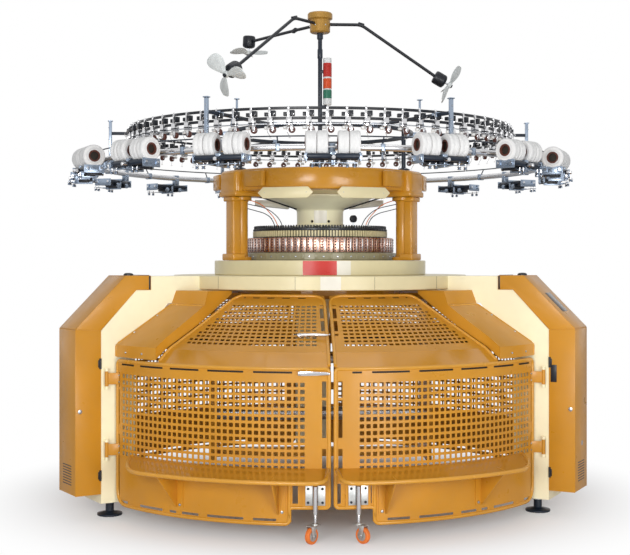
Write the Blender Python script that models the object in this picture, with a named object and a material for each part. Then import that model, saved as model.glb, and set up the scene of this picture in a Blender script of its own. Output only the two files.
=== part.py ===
"""Circular knitting machine with three legs, curved swing gates and a yarn creel on top.

Metres, +Z up. The origin is on the floor below the machine's axis. An angle "turn" is
measured about +Z from the front (-Y), positive towards +X, so the right side is positive.
"""
import math

import bmesh
import bpy
from mathutils import Matrix, Vector

# Clearances
SEAT_GAP = 0.0003
SWING_GAP = 0.010

# Bed and legs
BED_RADIUS = 0.990
BED_BOTTOM = 1.378
BED_THICKNESS = 0.086
BED_BORE_RADIUS = 0.400
BED_RING_RADIUS = 0.716
BED_RING_HEIGHT = 0.096
LEG_ANGLES = {"left": -60.0, "right": 60.0, "rear": 180.0}
LEG_WIDTH = 0.260
LEG_OUTER_RADIUS = 1.640
LEG_COLUMN_DEPTH = 0.220
LEG_BOTTOM = 0.100
LEG_CHAMFER_HEIGHT = 0.241
LEG_ARM_DEPTH = 0.170
LEG_BED_OVERLAP = 0.060
FOOT_RADIUS = 0.075
FOOT_PAD_HEIGHT = 0.022
FOOT_STEM_RADIUS = 0.024

# Cabinets that wrap the outside of each leg
CABINET_WIDTH = 0.268
CABINET_DEPTH = 0.164
CABINET_BOTTOM = 0.157
CABINET_TOP_SETBACK = 0.326
CABINET_TOP_WIDTH = 0.169
CABINET_SHOULDER = 0.098
CABINET_TOP_RISE = 0.003

# Curved gates and guards between the legs
GATE_SETBACK = 0.090
GATE_SHEET = 0.024
GATE_BOTTOM = 0.086
GATE_SKIRT_TOP = 0.415
GATE_WINDOW_TOP = 0.915
GATE_TOP = 0.970
GATE_POST_WIDTH = 0.045
GATE_MEETING_GAP = 0.012
GATE_HINGE_SETBACK = 0.027
GATE_HINGE_OFFSET = 0.152
CASTER_CUTOUT_WIDTH = 0.240
CASTER_CUTOUT_TOP = 0.178
SCREEN_SHEET = 0.010
SCREEN_HOLE_COLUMNS = 7
SCREEN_HOLE_ROWS = 3
GUARD_HOLE_COLUMNS = 12
SCREEN_HOLE_SHARE = 0.62
SHELF_BOTTOM = 0.352
SHELF_ROOT_TOP = 0.410
SHELF_REACH = 0.232
GUARD_SHELF_REACH = 0.172
SHELF_SHEET = 0.012
SHELF_LIP_WIDTH = 0.018
SHELF_LIP_HEIGHT = 0.026
SHELF_FREE_INSET = 0.35
SHELF_HINGE_INSET = 6.7
SHELF_LEG_INSET = 3.0
SHELF_FREE_CORNER = ((0.0, 0.25), (0.45, 0.70), (1.8, 0.93), (4.5, 1.0))
SHELF_HINGE_CORNER = ((0.0, 0.10), (3.3, 0.50), (6.6, 0.85), (10.0, 1.0))
GUSSET_ANGLES = (11.1, 34.2)
GUSSET_THICKNESS = 0.008
GUSSET_BOTTOM = 0.150
GUSSET_FOOT_REACH = 0.018
GUSSET_LIP_GAP = 0.004

# Sloped hood on each gate and on each guard
HOOD_SETBACK = 0.090
HOOD_LOWER_HEIGHT = 1.040
HOOD_UPPER_RADIUS = 0.930
HOOD_UPPER_HEIGHT = 1.345
HOOD_SHEET = 0.014
HOOD_LOWER_ANGLE = 40.0
HOOD_UPPER_ANGLE = 36.0
HOOD_NOTCH_WIDTH = 0.070
HOOD_HOLE_COLUMNS = 5
HOOD_HOLE_ROWS = 3
GUARD_HOOD_COLUMNS = 8
COVER_EDGE_HEIGHT = 1.050
COVER_FOLD_SETBACK = 0.185
COVER_FOLD_HEIGHT = 1.170
APRON_LIP = 0.030
APRON_RADIUS = 1.150
APRON_BOTTOM = 1.290
APRON_START_ANGLE = 38.5

# Hinges, latches and casters
HINGE_KNUCKLE_RADIUS = 0.011
HINGE_KNUCKLE_LENGTH = 0.090
HINGE_LUG_HEIGHT = 0.018
HINGE_HEIGHTS = (0.425, 0.850)
LATCH_BAR_RADIUS = 0.008
LATCH_BOSS_RADIUS = 0.013
LATCH_LENGTH = 0.172
LATCH_STANDOFF = 0.016
LATCH_LOWER_HEIGHT = 0.935
LATCH_UPPER_HEIGHT = 1.114
CASTER_OFFSETS = {"left": -0.095, "right": 0.145}
CASTER_REST_TURNS = {"left": 142.0, "right": -142.0}
CASTER_WHEEL_RADIUS = 0.046
CASTER_WHEEL_WIDTH = 0.026
CASTER_TRAIL = 0.032
CASTER_STEM_RADIUS = 0.009
CASTER_PLATE_SIZE = 0.110
CASTER_PLATE_BOTTOM = 0.205

# Knitting head
CAM_BASE_RADIUS = 0.520
CAM_BASE_HEIGHT = 0.051
CAM_RING_RADIUS = 0.498
CAM_RING_HEIGHT = 0.099
DIAL_RADIUS = 0.457
DIAL_HEIGHT = 0.080
COLUMN_RADIUS = 0.158
COLUMN_NECK_RADIUS = 0.215
COLUMN_FLARE_RADIUS = 0.358
COLUMN_FLARE_START = 1.903
COLUMN_FLARE_END = 1.984
COLUMN_RIM_HEIGHT = 0.008

# Upper frame, its pillars and the two sign panels
FRAME_OUTER_RADIUS = 0.680
FRAME_BEAM_DEPTH = 0.110
FRAME_BOTTOM = 2.010
FRAME_TOP = 2.150
FRAME_HUB_RADIUS = 0.230
FRAME_HUB_BOTTOM = 2.030
FRAME_SPOKE_WIDTH = 0.120
CORNER_BLOCK_INNER = 0.520
CORNER_BLOCK_OUTER = 0.716
CORNER_BLOCK_WIDTH = 0.220
CORNER_BLOCK_BOTTOM = 1.975
PILLAR_ORBIT = 0.620
PILLAR_WEB_INNER = 0.636
PILLAR_WEB_OUTER = 0.700
PILLAR_WEB_WIDTH = 0.100
PILLAR_RADIUS = 0.050
PILLAR_FLANGE_RADIUS = 0.075
PILLAR_FLANGE_HEIGHT = 0.020
SIGN_ANGLE = 21.0
SIGN_WIDTH = 0.370
SIGN_HEIGHT = 0.070
SIGN_THICKNESS = 0.012
SIGN_TOP = 2.022

# Fan pole, signal light and fan head
POLE_RADIUS = 0.014
POLE_TOP = 3.110
HEAD_LOWER_RADIUS = 0.069
HEAD_UPPER_RADIUS = 0.085
HEAD_SPLIT = 3.200
HEAD_TOP = 3.247
SIGNAL_OFFSET = 0.050
SIGNAL_RADIUS = 0.030
SIGNAL_BOTTOM = 2.620
SIGNAL_TOP = 2.940
FAN_ARM_RADIUS = 0.011
FAN_BEND_RADIUS = 0.280
FAN_ARM_HEIGHT = 3.170
FANS = {
    "right": {"turn": 90.0, "reach": 0.820, "height": 2.800, "tilt": 60.0},
    "front": {"turn": -40.0, "reach": 0.890, "height": 2.750, "tilt": 60.0},
    "rear": {"turn": -143.0, "reach": 0.820, "height": 3.165, "tilt": 5.0},
}
MOTOR_RADIUS = 0.045
MOTOR_LENGTH = 0.090
BLADE_TIP_RADIUS = 0.150
BLADE_HUB_RADIUS = 0.022
BLADE_THICKNESS = 0.004
BLADE_PITCH = 22.0

# Creel: support, feeder ring and elastane ring
CREEL_COLUMN_ORBIT = 0.620
CREEL_COLUMN_RADIUS = 0.014
CREEL_SPOKE_RISE = 0.230
CREEL_SPOKE_HALF = 0.010
CREEL_SPOKE_SETBACK = 0.080
CREEL_SPOKES = 6
CREEL_SPOKE_WIDTH = 0.020
CREEL_RING_WIDTH = 0.028
CREEL_FOOT_RADIUS = 0.040
CREEL_FOOT_HEIGHT = 0.012
CREEL_POST_WIDTH = 0.022
CREEL_POST_DEPTH = 0.020
CREEL_TAB_WIDTH = 0.016
CREEL_TAB_HEIGHT = 0.008
FEEDER_RING_RADIUS = 1.280
FEEDER_RAIL_DROP = 0.048
FEEDER_RAIL_HEIGHT = 0.016
FEEDER_RAIL_DEPTH = 0.012
FEEDER_RAIL_RISE = 0.0105
FEEDER_BODY_DROP = 0.100
FEEDER_BODY_RISE = 0.032
FEEDER_BODY_WIDTH = 0.020
FEEDER_COUNT = 24
ELASTANE_RING_RADIUS = 1.500
ELASTANE_TUBE_RADIUS = 0.019
ELASTANE_TUBE_RISE = 0.040
ELASTANE_UNITS = 16
ELASTANE_UNIT_REACH = 0.100
ELASTANE_UNIT_LENGTH = 0.290
ELASTANE_LOADED_ANGLE = 68.0
ELASTANE_CLAMP_DROP = 0.054
ELASTANE_CLAMP_SEAT = 0.006
ELASTANE_CLAMP_DEPTH = 0.024
ELASTANE_CLAMP_WIDTH = 0.036
ELASTANE_BEAM_RISE = 0.004
ELASTANE_BEAM_HEIGHT = 0.024
ELASTANE_BEAM_WIDTH = 0.040
ELASTANE_BEAM_OVERHANG = 0.055
ELASTANE_WEB_DROP = 0.048
ELASTANE_WEB_HEIGHT = 0.060
ELASTANE_WEB_DEPTH = 0.100
ELASTANE_WEB_WIDTH = 0.020
ROLLER_RADIUS = 0.016
ROLLER_DROP = 0.062
CRADLE_ANGLE = 30.0
PACKAGE_RADIUS = 0.070
PACKAGE_WIDTH = 0.062
PACKAGE_PAIR_GAP = 0.001
PACKAGE_MIDDLE_GAP = 0.054
PACKAGE_CORE_RADIUS = 0.036

# Take-down unit under the bed, which turns with the needle cylinder
TAKE_DOWN_RING_RADIUS = 0.560
TAKE_DOWN_RING_BORE = 0.440
TAKE_DOWN_RING_HEIGHT = 0.045
TAKE_DOWN_SIDE_OFFSET = 0.720
TAKE_DOWN_SIDE_THICKNESS = 0.030
TAKE_DOWN_SIDE_BOTTOM = 0.220
TAKE_DOWN_SIDE_WIDTH = 0.440
TAKE_DOWN_BEAM = 0.060
NIP_ROLLER_RADIUS = 0.035
NIP_ROLLER_HEIGHT = 0.900
BATCH_ROLLER_RADIUS = 0.045
BATCH_ROLLER_HEIGHT = 0.520

# Facets
RING_FACETS = 48
TUBE_FACETS = 8
ROD_FACETS = 12
PACKAGE_FACETS = 12
FACET_DEGREES = 6.0

CABINET_TOP_INNER_RADIUS = LEG_OUTER_RADIUS - CABINET_TOP_SETBACK
CABINET_TOP_OUTER_RADIUS = CABINET_TOP_INNER_RADIUS + CABINET_TOP_WIDTH
SHOULDER_RADIUS = CABINET_TOP_INNER_RADIUS + CABINET_SHOULDER
GATE_RADIUS = LEG_OUTER_RADIUS - GATE_SETBACK
GATE_HINGE_RADIAL = LEG_OUTER_RADIUS - GATE_HINGE_SETBACK
HOOD_LOWER_RADIUS = GATE_RADIUS - HOOD_SETBACK
ELASTANE_UNIT_RADIUS = ELASTANE_RING_RADIUS + ELASTANE_UNIT_REACH
CREEL_SPOKE_REACH = ELASTANE_RING_RADIUS - CREEL_SPOKE_SETBACK
ELASTANE_TUBE_HEIGHT = FRAME_TOP + ELASTANE_TUBE_RISE
CREEL_SPOKE_HEIGHT = ELASTANE_TUBE_HEIGHT + CREEL_SPOKE_RISE
ROLLER_HEIGHT = ELASTANE_TUBE_HEIGHT - ROLLER_DROP
CRADLE_REACH = PACKAGE_RADIUS + ROLLER_RADIUS + SEAT_GAP
CRADLE_SIDE = CRADLE_REACH * math.sin(math.radians(CRADLE_ANGLE))
CRADLE_RISE = CRADLE_REACH * math.cos(math.radians(CRADLE_ANGLE))
BED_TOP = BED_BOTTOM + BED_THICKNESS
BED_RING_TOP = BED_TOP + SEAT_GAP + BED_RING_HEIGHT
CAM_BASE_TOP = BED_RING_TOP + SEAT_GAP + CAM_BASE_HEIGHT
CAM_RING_TOP = CAM_BASE_TOP + SEAT_GAP + CAM_RING_HEIGHT
DIAL_TOP = CAM_RING_TOP + SEAT_GAP + DIAL_HEIGHT

COLOURS = {
    "cream paint": ((0.760, 0.680, 0.450), 0.45, 0.0),
    "ochre paint": ((0.640, 0.350, 0.075), 0.42, 0.0),
    "ochre casting": ((0.520, 0.250, 0.030), 0.38, 0.0),
    "black paint": ((0.012, 0.016, 0.022), 0.40, 0.0),
    "chrome": ((0.620, 0.600, 0.580), 0.22, 1.0),
    "pink steel": ((0.430, 0.330, 0.300), 0.35, 0.9),
    "khaki": ((0.420, 0.350, 0.170), 0.50, 0.0),
    "zinc": ((0.500, 0.510, 0.500), 0.45, 0.8),
    "orange wheel": ((0.760, 0.190, 0.045), 0.40, 0.0),
    "white yarn": ((0.860, 0.850, 0.830), 0.80, 0.0),
    "blade grey": ((0.600, 0.600, 0.580), 0.40, 0.0),
    "signal red": ((0.550, 0.040, 0.020), 0.30, 0.0),
    "blue steel": ((0.300, 0.350, 0.400), 0.35, 0.7),
    "brass paint": ((0.300, 0.170, 0.035), 0.40, 0.2),
}
MATERIALS = {}


def clear_scene():
    for old in list(bpy.data.objects):
        bpy.data.objects.remove(old, do_unlink=True)


def paint(name):
    """The Principled material of one named finish, made once."""
    if name not in MATERIALS:
        colour, roughness, metallic = COLOURS[name]
        material = bpy.data.materials.new(name)
        material.use_nodes = True
        shader = material.node_tree.nodes["Principled BSDF"]
        shader.inputs["Base Color"].default_value = (*colour, 1.0)
        shader.inputs["Roughness"].default_value = roughness
        shader.inputs["Metallic"].default_value = metallic
        MATERIALS[name] = material
    return MATERIALS[name]


def polar(radius, turn, height=0.0):
    """A point at a radius and turn angle (degrees from the front, positive to the right)."""
    angle = math.radians(turn)
    return Vector((radius * math.sin(angle), -radius * math.cos(angle), height))


def facing(turn):
    """Rotation that carries the front direction (-Y) to the given turn angle."""
    return Matrix.Rotation(math.radians(turn), 4, "Z")


def side_angle(radius, offset):
    """Degrees between a radial plane and a point that far to its side at that radius."""
    return math.degrees(math.asin(offset / radius))


def solid_from(vertices, faces):
    """A bmesh of one closed body with its faces pointing out."""
    body = bmesh.new()
    made = [body.verts.new(vertex) for vertex in vertices]
    for face in faces:
        body.faces.new([made[index] for index in face])
    bmesh.ops.recalc_face_normals(body, faces=body.faces)
    return body


def swept(outline, start, end, steps):
    """Turn a closed (radius, height) outline about the axis between two turn angles."""
    full = abs(end - start) >= 360.0
    stations = steps if full else steps + 1
    vertices = []
    for station in range(stations):
        turn = start + (end - start) * station / steps
        vertices.extend(polar(radius, turn, height) for radius, height in outline)
    count = len(outline)
    faces = []
    for station in range(steps):
        here = station * count
        there = (station + 1) % stations * count
        for corner in range(count):
            after = (corner + 1) % count
            faces.append((here + corner, there + corner, there + after, here + after))
    if not full:
        faces.append(tuple(range(count)))
        faces.append(tuple(range((stations - 1) * count, stations * count)))
    return solid_from(vertices, faces)


def arc_steps(start, end):
    return max(2, round(abs(end - start) / FACET_DEGREES))


def ring(inner, outer, bottom, top, start=0.0, end=360.0):
    outline = [(inner, bottom), (outer, bottom), (outer, top), (inner, top)]
    steps = RING_FACETS if abs(end - start) >= 360.0 else arc_steps(start, end)
    return swept(outline, start, end, steps)


def turned(profile, facets):
    """A solid of revolution about Z from (radius, height) points, bottom to top."""
    vertices = [Vector((0.0, 0.0, profile[0][1]))]
    for radius, height in profile:
        vertices.extend(polar(radius, 360.0 * step / facets, height) for step in range(facets))
    vertices.append(Vector((0.0, 0.0, profile[-1][1])))
    faces = []
    last = len(vertices) - 1
    top_start = 1 + (len(profile) - 1) * facets
    for step in range(facets):
        after = (step + 1) % facets
        faces.append((0, 1 + after, 1 + step))
        faces.append((last, top_start + step, top_start + after))
        for level in range(len(profile) - 1):
            here = 1 + level * facets
            there = here + facets
            faces.append((here + step, here + after, there + after, there + step))
    return solid_from(vertices, faces)


def placed(body, matrix):
    bmesh.ops.transform(body, matrix=matrix, verts=body.verts)
    return body


def disc_between(start, end, radius, facets=ROD_FACETS):
    """A round bar between two points."""
    start = Vector(start)
    end = Vector(end)
    length = (end - start).length
    body = turned([(radius, 0.0), (radius, length)], facets)
    turn = (end - start).to_track_quat("Z", "Y").to_matrix().to_4x4()
    return placed(body, Matrix.Translation(start) @ turn)


def bent_bar(points, radius, facets=TUBE_FACETS):
    """A round bar along a run of points, with mitred bends."""
    points = [Vector(point) for point in points]
    vertices = []
    side = None
    for index, point in enumerate(points):
        before = points[max(index - 1, 0)]
        after = points[min(index + 1, len(points) - 1)]
        into = (point - before).normalized() if index else (after - point).normalized()
        out = (after - point).normalized() if index < len(points) - 1 else into
        along = (into + out).normalized()
        if side is None:
            side = along.orthogonal().normalized()
        side = (side - along * side.dot(along)).normalized()
        stretch = 1.0 / max(into.dot(along), 0.3)
        other = along.cross(side)
        bend = (into - out)
        for step in range(facets):
            angle = 2.0 * math.pi * step / facets
            spoke = side * math.cos(angle) + other * math.sin(angle)
            if bend.length > 1e-6:
                inward = (bend - along * bend.dot(along)).normalized()
                spoke += inward * spoke.dot(inward) * (stretch - 1.0)
            vertices.append(point + spoke * radius)
    faces = []
    for index in range(len(points) - 1):
        here = index * facets
        there = here + facets
        for step in range(facets):
            after = (step + 1) % facets
            faces.append((here + step, here + after, there + after, there + step))
    faces.append(tuple(range(facets)))
    faces.append(tuple(range(len(vertices) - facets, len(vertices))))
    return solid_from(vertices, faces)


def block(low, high):
    """An upright box between two corners."""
    x0, y0, z0 = low
    x1, y1, z1 = high
    vertices = [Vector((x, y, z)) for z in (z0, z1) for x, y in ((x0, y0), (x1, y0), (x1, y1), (x0, y1))]
    faces = [(0, 3, 2, 1), (4, 5, 6, 7), (0, 1, 5, 4), (1, 2, 6, 5), (2, 3, 7, 6), (3, 0, 4, 7)]
    return solid_from(vertices, faces)


def radial_block(turn, inner, outer, width, bottom, top):
    """A box along a radius, at a turn angle."""
    body = block((-width / 2, -outer, bottom), (width / 2, -inner, top))
    return placed(body, facing(turn))


def radial_plate(turn, outline, width):
    """A (radius, height) outline extruded sideways, half to each side of a radial plane."""
    count = len(outline)
    vertices = []
    for side in (-width / 2, width / 2):
        vertices.extend(Vector((side, -radius, height)) for radius, height in outline)
    faces = [tuple(range(count)), tuple(range(count, 2 * count))]
    for corner in range(count):
        after = (corner + 1) % count
        faces.append((corner, after, count + after, count + corner))
    return placed(solid_from(vertices, faces), facing(turn))


def curved_sheet(rows, thickness, columns, angle_at, is_open=None):
    """A sheet over a grid of columns and rows, with open cells left out.

    rows are (radius, height) points of the middle of the sheet, and angle_at gives the
    turn angle of a column share between 0 and 1 at a row's radius.
    """
    normals = []
    for index in range(len(rows)):
        before = rows[max(index - 1, 0)]
        after = rows[min(index + 1, len(rows) - 1)]
        into = Vector((rows[index][0] - before[0], rows[index][1] - before[1]))
        out = Vector((after[0] - rows[index][0], after[1] - rows[index][1]))
        parts = [part.normalized() for part in (into, out) if part.length > 1e-9]
        along = (parts[0] + parts[-1]).normalized()
        stretch = 1.0 / max(along.dot(parts[0]), 0.5)
        normals.append((along.y * stretch, -along.x * stretch))
    body = bmesh.new()
    sides = []
    for offset in (-thickness / 2, thickness / 2):
        grid = []
        for (radius, height), (across, up) in zip(rows, normals):
            line = []
            reach = radius + across * offset
            for column in columns:
                line.append(body.verts.new(polar(reach, angle_at(column, reach), height + up * offset)))
            grid.append(line)
        sides.append(grid)
    inner, outer = sides
    row_count = len(rows) - 1
    column_count = len(columns) - 1

    def filled(column, row):
        if not (0 <= column < column_count and 0 <= row < row_count):
            return False
        return is_open is None or not is_open(column, row)

    for row in range(row_count):
        for column in range(column_count):
            if not filled(column, row):
                continue
            corners = ((row, column), (row, column + 1), (row + 1, column + 1), (row + 1, column))
            body.faces.new([outer[r][c] for r, c in corners])
            body.faces.new([inner[r][c] for r, c in reversed(corners)])
            neighbours = ((column, row - 1), (column + 1, row), (column, row + 1), (column - 1, row))
            for index, neighbour in enumerate(neighbours):
                if filled(*neighbour):
                    continue
                a = corners[index]
                b = corners[(index + 1) % 4]
                wall = (inner[a[0]][a[1]], inner[b[0]][b[1]], outer[b[0]][b[1]], outer[a[0]][a[1]])
                body.faces.new(wall)
    loose = [vertex for vertex in body.verts if not vertex.link_faces]
    bmesh.ops.delete(body, geom=loose, context="VERTS")
    bmesh.ops.recalc_face_normals(body, faces=body.faces)
    return body


def even_breaks(count, share, margin=0.0):
    """Column or row shares for a run of holes, each between two bars."""
    breaks = [0.0]
    pitch = (1.0 - 2.0 * margin) / count
    for index in range(count):
        middle = margin + pitch * (index + 0.5)
        breaks.append(middle - pitch * share / 2)
        breaks.append(middle + pitch * share / 2)
    breaks.append(1.0)
    return breaks


def odd_cells_open(column, row):
    return column % 2 == 1 and row % 2 == 1


def mirrored(body):
    """The same body on the other side of the machine's middle plane."""
    bmesh.ops.transform(body, matrix=Matrix.Diagonal((-1.0, 1.0, 1.0, 1.0)), verts=body.verts)
    bmesh.ops.recalc_face_normals(body, faces=body.faces)
    return body


def as_object(name, body, finish, origin=(0.0, 0.0, 0.0), smooth=False):
    """A scene object from a bmesh, with its origin at a world point."""
    bmesh.ops.transform(body, matrix=Matrix.Translation(-Vector(origin)), verts=body.verts)
    mesh = bpy.data.meshes.new(name)
    body.to_mesh(mesh)
    body.free()
    mesh.materials.append(paint(finish))
    item = bpy.data.objects.new(name, mesh)
    item.location = origin
    bpy.context.scene.collection.objects.link(item)
    if smooth:
        mesh.shade_smooth()
        mesh.set_sharp_from_angle(angle=math.radians(32.0))
    return item


def combined(bodies, operation="UNION"):
    """The exact Boolean of the first body with each of the others, as one bmesh."""
    first = as_object("working piece", bodies[0], "zinc")
    others = []
    for body in bodies[1:]:
        other = as_object("working cutter", body, "zinc")
        modifier = first.modifiers.new("join", "BOOLEAN")
        modifier.operation = operation
        modifier.solver = "EXACT"
        modifier.object = other
        others.append(other)
    bpy.context.view_layer.update()
    evaluated = first.evaluated_get(bpy.context.evaluated_depsgraph_get())
    result = bmesh.new()
    result.from_mesh(evaluated.to_mesh())
    evaluated.to_mesh_clear()
    for item in [first, *others]:
        mesh = item.data
        bpy.data.objects.remove(item, do_unlink=True)
        bpy.data.meshes.remove(mesh)
    bmesh.ops.remove_doubles(result, verts=result.verts, dist=0.00002)
    bmesh.ops.dissolve_limit(
        result, angle_limit=math.radians(0.05), verts=result.verts, edges=result.edges
    )
    return result


def build_bed():
    plate = ring(BED_BORE_RADIUS, BED_RADIUS, BED_BOTTOM, BED_TOP)
    as_object("bed_plate", plate, "cream paint", smooth=True)
    upper = ring(BED_BORE_RADIUS, BED_RING_RADIUS, BED_TOP + SEAT_GAP, BED_RING_TOP)
    as_object("bed_ring", upper, "cream paint", smooth=True)


def leg_outline():
    """Upside-down L with a sloped shoulder, as (radius, height)."""
    chamfer_bottom = BED_BOTTOM - LEG_CHAMFER_HEIGHT
    inner_face = LEG_OUTER_RADIUS - LEG_COLUMN_DEPTH
    shoulder = SHOULDER_RADIUS
    arm_bottom = BED_TOP - LEG_ARM_DEPTH
    return [
        (BED_RADIUS - LEG_BED_OVERLAP, arm_bottom),
        (BED_RADIUS - LEG_BED_OVERLAP, BED_TOP - 0.002),
        (CABINET_TOP_INNER_RADIUS, BED_TOP - 0.002),
        (CABINET_TOP_INNER_RADIUS, BED_BOTTOM),
        (shoulder, BED_BOTTOM),
        (LEG_OUTER_RADIUS, chamfer_bottom),
        (LEG_OUTER_RADIUS, LEG_BOTTOM),
        (inner_face, LEG_BOTTOM),
        (inner_face, chamfer_bottom - 0.120),
        (inner_face - 0.220, arm_bottom),
    ]


def hinge_point():
    """Axis of the right gate's hinge, beside the right leg."""
    along = polar(GATE_HINGE_RADIAL, 60.0)
    return along - polar(GATE_HINGE_OFFSET, 150.0)


def hinge_lugs():
    """Lugs on the right leg's side, one below and one above each of the gate's knuckles."""
    lugs = []
    axis = hinge_point()
    half = GATE_HINGE_OFFSET - LEG_WIDTH / 2
    for height in HINGE_HEIGHTS:
        for sign in (-1.0, 1.0):
            near = height + sign * (HINGE_KNUCKLE_LENGTH / 2 + SEAT_GAP)
            far = near + sign * HINGE_LUG_HEIGHT
            low, high = sorted((near, far))
            pin = disc_between((axis.x, axis.y, low), (axis.x, axis.y, high), HINGE_KNUCKLE_RADIUS)
            arm = block((0.0, -0.006, low + 0.002), (half + 0.010, 0.006, high - 0.002))
            arm = placed(arm, Matrix.Translation(Vector((axis.x, axis.y, 0.0))) @ facing(60.0))
            lugs.append(combined([pin, arm]))
    return lugs


def build_legs():
    for side, turn in LEG_ANGLES.items():
        leg = radial_plate(turn, leg_outline(), LEG_WIDTH)
        reach = BED_RADIUS + SEAT_GAP
        bed_space = turned([(reach, BED_BOTTOM - SEAT_GAP), (reach, BED_TOP + 0.1)], RING_FACETS)
        leg = combined([leg, bed_space], "DIFFERENCE")
        centre = polar(LEG_OUTER_RADIUS - LEG_COLUMN_DEPTH / 2, turn)
        foot = turned(
            [
                (FOOT_RADIUS, 0.0),
                (FOOT_RADIUS, FOOT_PAD_HEIGHT * 0.6),
                (FOOT_STEM_RADIUS, FOOT_PAD_HEIGHT),
                (FOOT_STEM_RADIUS, LEG_BOTTOM + 0.020),
            ],
            ROD_FACETS,
        )
        bodies = [leg, placed(foot, Matrix.Translation(centre))]
        if side != "rear":
            lugs = hinge_lugs()
            bodies.extend(mirrored(lug) for lug in lugs) if side == "left" else bodies.extend(lugs)
        as_object("leg_" + side, combined(bodies), "cream paint", smooth=True)


def cabinet_outline():
    """Outline of the housing outside a leg, following the leg's shoulder at the seat gap."""
    gap = SEAT_GAP
    chamfer_bottom = BED_BOTTOM - LEG_CHAMFER_HEIGHT
    shoulder = SHOULDER_RADIUS
    top = BED_TOP + CABINET_TOP_RISE
    outer = LEG_OUTER_RADIUS + CABINET_DEPTH
    return [
        (CABINET_TOP_INNER_RADIUS + gap, BED_BOTTOM + gap),
        (shoulder + gap, BED_BOTTOM + gap),
        (LEG_OUTER_RADIUS + gap, chamfer_bottom + gap),
        (LEG_OUTER_RADIUS + gap, CABINET_BOTTOM),
        (outer, CABINET_BOTTOM),
        (outer, chamfer_bottom + 0.011),
        (CABINET_TOP_OUTER_RADIUS, top),
        (CABINET_TOP_INNER_RADIUS + gap, top),
    ]


def build_cabinets():
    for side, turn in LEG_ANGLES.items():
        body = radial_plate(turn, cabinet_outline(), CABINET_WIDTH)
        as_object("cabinet_" + side, body, "ochre paint")


def bay_half_angle(radius):
    """Half the angle of the bay between two legs, up to their side faces."""
    return 60.0 - side_angle(radius, LEG_WIDTH / 2 + SEAT_GAP)


def straight_rows(heights, radius=GATE_RADIUS):
    return [(radius, height) for height in heights]


def shelf_outline(reach):
    """The ledge below a screen as (radius, height): a sloped sheet with a thick lip."""
    root = GATE_RADIUS
    tip = root + reach
    lip = min(SHELF_LIP_WIDTH, reach / 2)
    slope = (SHELF_ROOT_TOP - SHELF_BOTTOM - SHELF_LIP_HEIGHT) * reach / SHELF_REACH
    top = SHELF_ROOT_TOP - slope
    return [
        (root, SHELF_ROOT_TOP - SHELF_SHEET),
        (tip - lip, top - SHELF_SHEET),
        (tip - lip, top - SHELF_LIP_HEIGHT),
        (tip, top - SHELF_LIP_HEIGHT + 0.004),
        (tip, top - 0.004),
        (root, SHELF_ROOT_TOP),
    ]


def shelf_body(start, end, start_corner, end_corner, reach=SHELF_REACH):
    """The ledge between two turn angles; a corner lists (angle from the end, share of the reach)."""
    near = start + start_corner[-1][0]
    far = end - end_corner[-1][0]
    middle = arc_steps(near, far)
    stations = [(start + turn, share) for turn, share in start_corner]
    stations.extend((near + (far - near) * index / middle, 1.0) for index in range(1, middle))
    stations.extend((end - turn, share) for turn, share in reversed(end_corner))
    vertices = []
    for turn, share in stations:
        vertices.extend(polar(radius, turn, height) for radius, height in shelf_outline(reach * share))
    count = len(shelf_outline(reach))
    faces = [tuple(range(count)), tuple(range(len(vertices) - count, len(vertices)))]
    for station in range(len(stations) - 1):
        here = station * count
        for corner in range(count):
            after = (corner + 1) % count
            faces.append((here + corner, here + after, here + count + after, here + count + corner))
    return solid_from(vertices, faces)


def gusset_body(turn, reach):
    """Upright triangular plate that props the ledge against the skirt."""
    tip = GATE_RADIUS + reach - SHELF_LIP_WIDTH - GUSSET_LIP_GAP
    fall = (SHELF_ROOT_TOP - SHELF_BOTTOM - SHELF_LIP_HEIGHT) * reach / SHELF_REACH
    lip_bottom = SHELF_ROOT_TOP - SHELF_LIP_HEIGHT - fall
    outline = [
        (GATE_RADIUS, GUSSET_BOTTOM),
        (GATE_RADIUS + GUSSET_FOOT_REACH, GUSSET_BOTTOM),
        (tip, lip_bottom + 0.008),
        (tip, lip_bottom + SHELF_LIP_HEIGHT - 0.006),
        (GATE_RADIUS, SHELF_ROOT_TOP - SHELF_SHEET / 2),
    ]
    return radial_plate(turn, outline, GUSSET_THICKNESS)


def leaf_columns(start, end, post, cells):
    """Column shares: a post at each end and even cells between them."""
    span = end - start
    share = post / span
    shares = [0.0]
    shares.extend(share + (1.0 - 2.0 * share) * index / cells for index in range(cells + 1))
    shares.append(1.0)
    return shares


def frame_body(edges, shelf, gusset_turns, cutout_angle=None, caster_angle=None, reach=SHELF_REACH):
    """Curved frame of a gate or guard: skirt, two posts and a top rail round a window.

    edges gives the start and end turn angles at a radius.
    """
    start, end = edges(GATE_RADIUS)
    post = math.degrees(GATE_POST_WIDTH / GATE_RADIUS)
    cells = arc_steps(start, end)
    columns = leaf_columns(start, end, post, cells)
    if cutout_angle:
        columns.append((cutout_angle - start) / (end - start))
        columns.append((caster_angle - start) / (end - start))
        columns.sort()
    heights = [GATE_BOTTOM, CASTER_CUTOUT_TOP, GATE_SKIRT_TOP, GATE_WINDOW_TOP, GATE_TOP]

    def angle_at(share, radius):
        near, far = edges(radius)
        return near + (far - near) * share

    def is_open(column, row):
        middle = (columns[column] + columns[column + 1]) / 2
        if row == 0 and cutout_angle:
            return angle_at(middle, GATE_RADIUS) < cutout_angle
        return row == 2 and 0 < column < len(columns) - 2

    sheet = curved_sheet(straight_rows(heights), GATE_SHEET, columns, angle_at, is_open)
    return combined([sheet, shelf, *(gusset_body(turn, reach) for turn in gusset_turns)])


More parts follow.
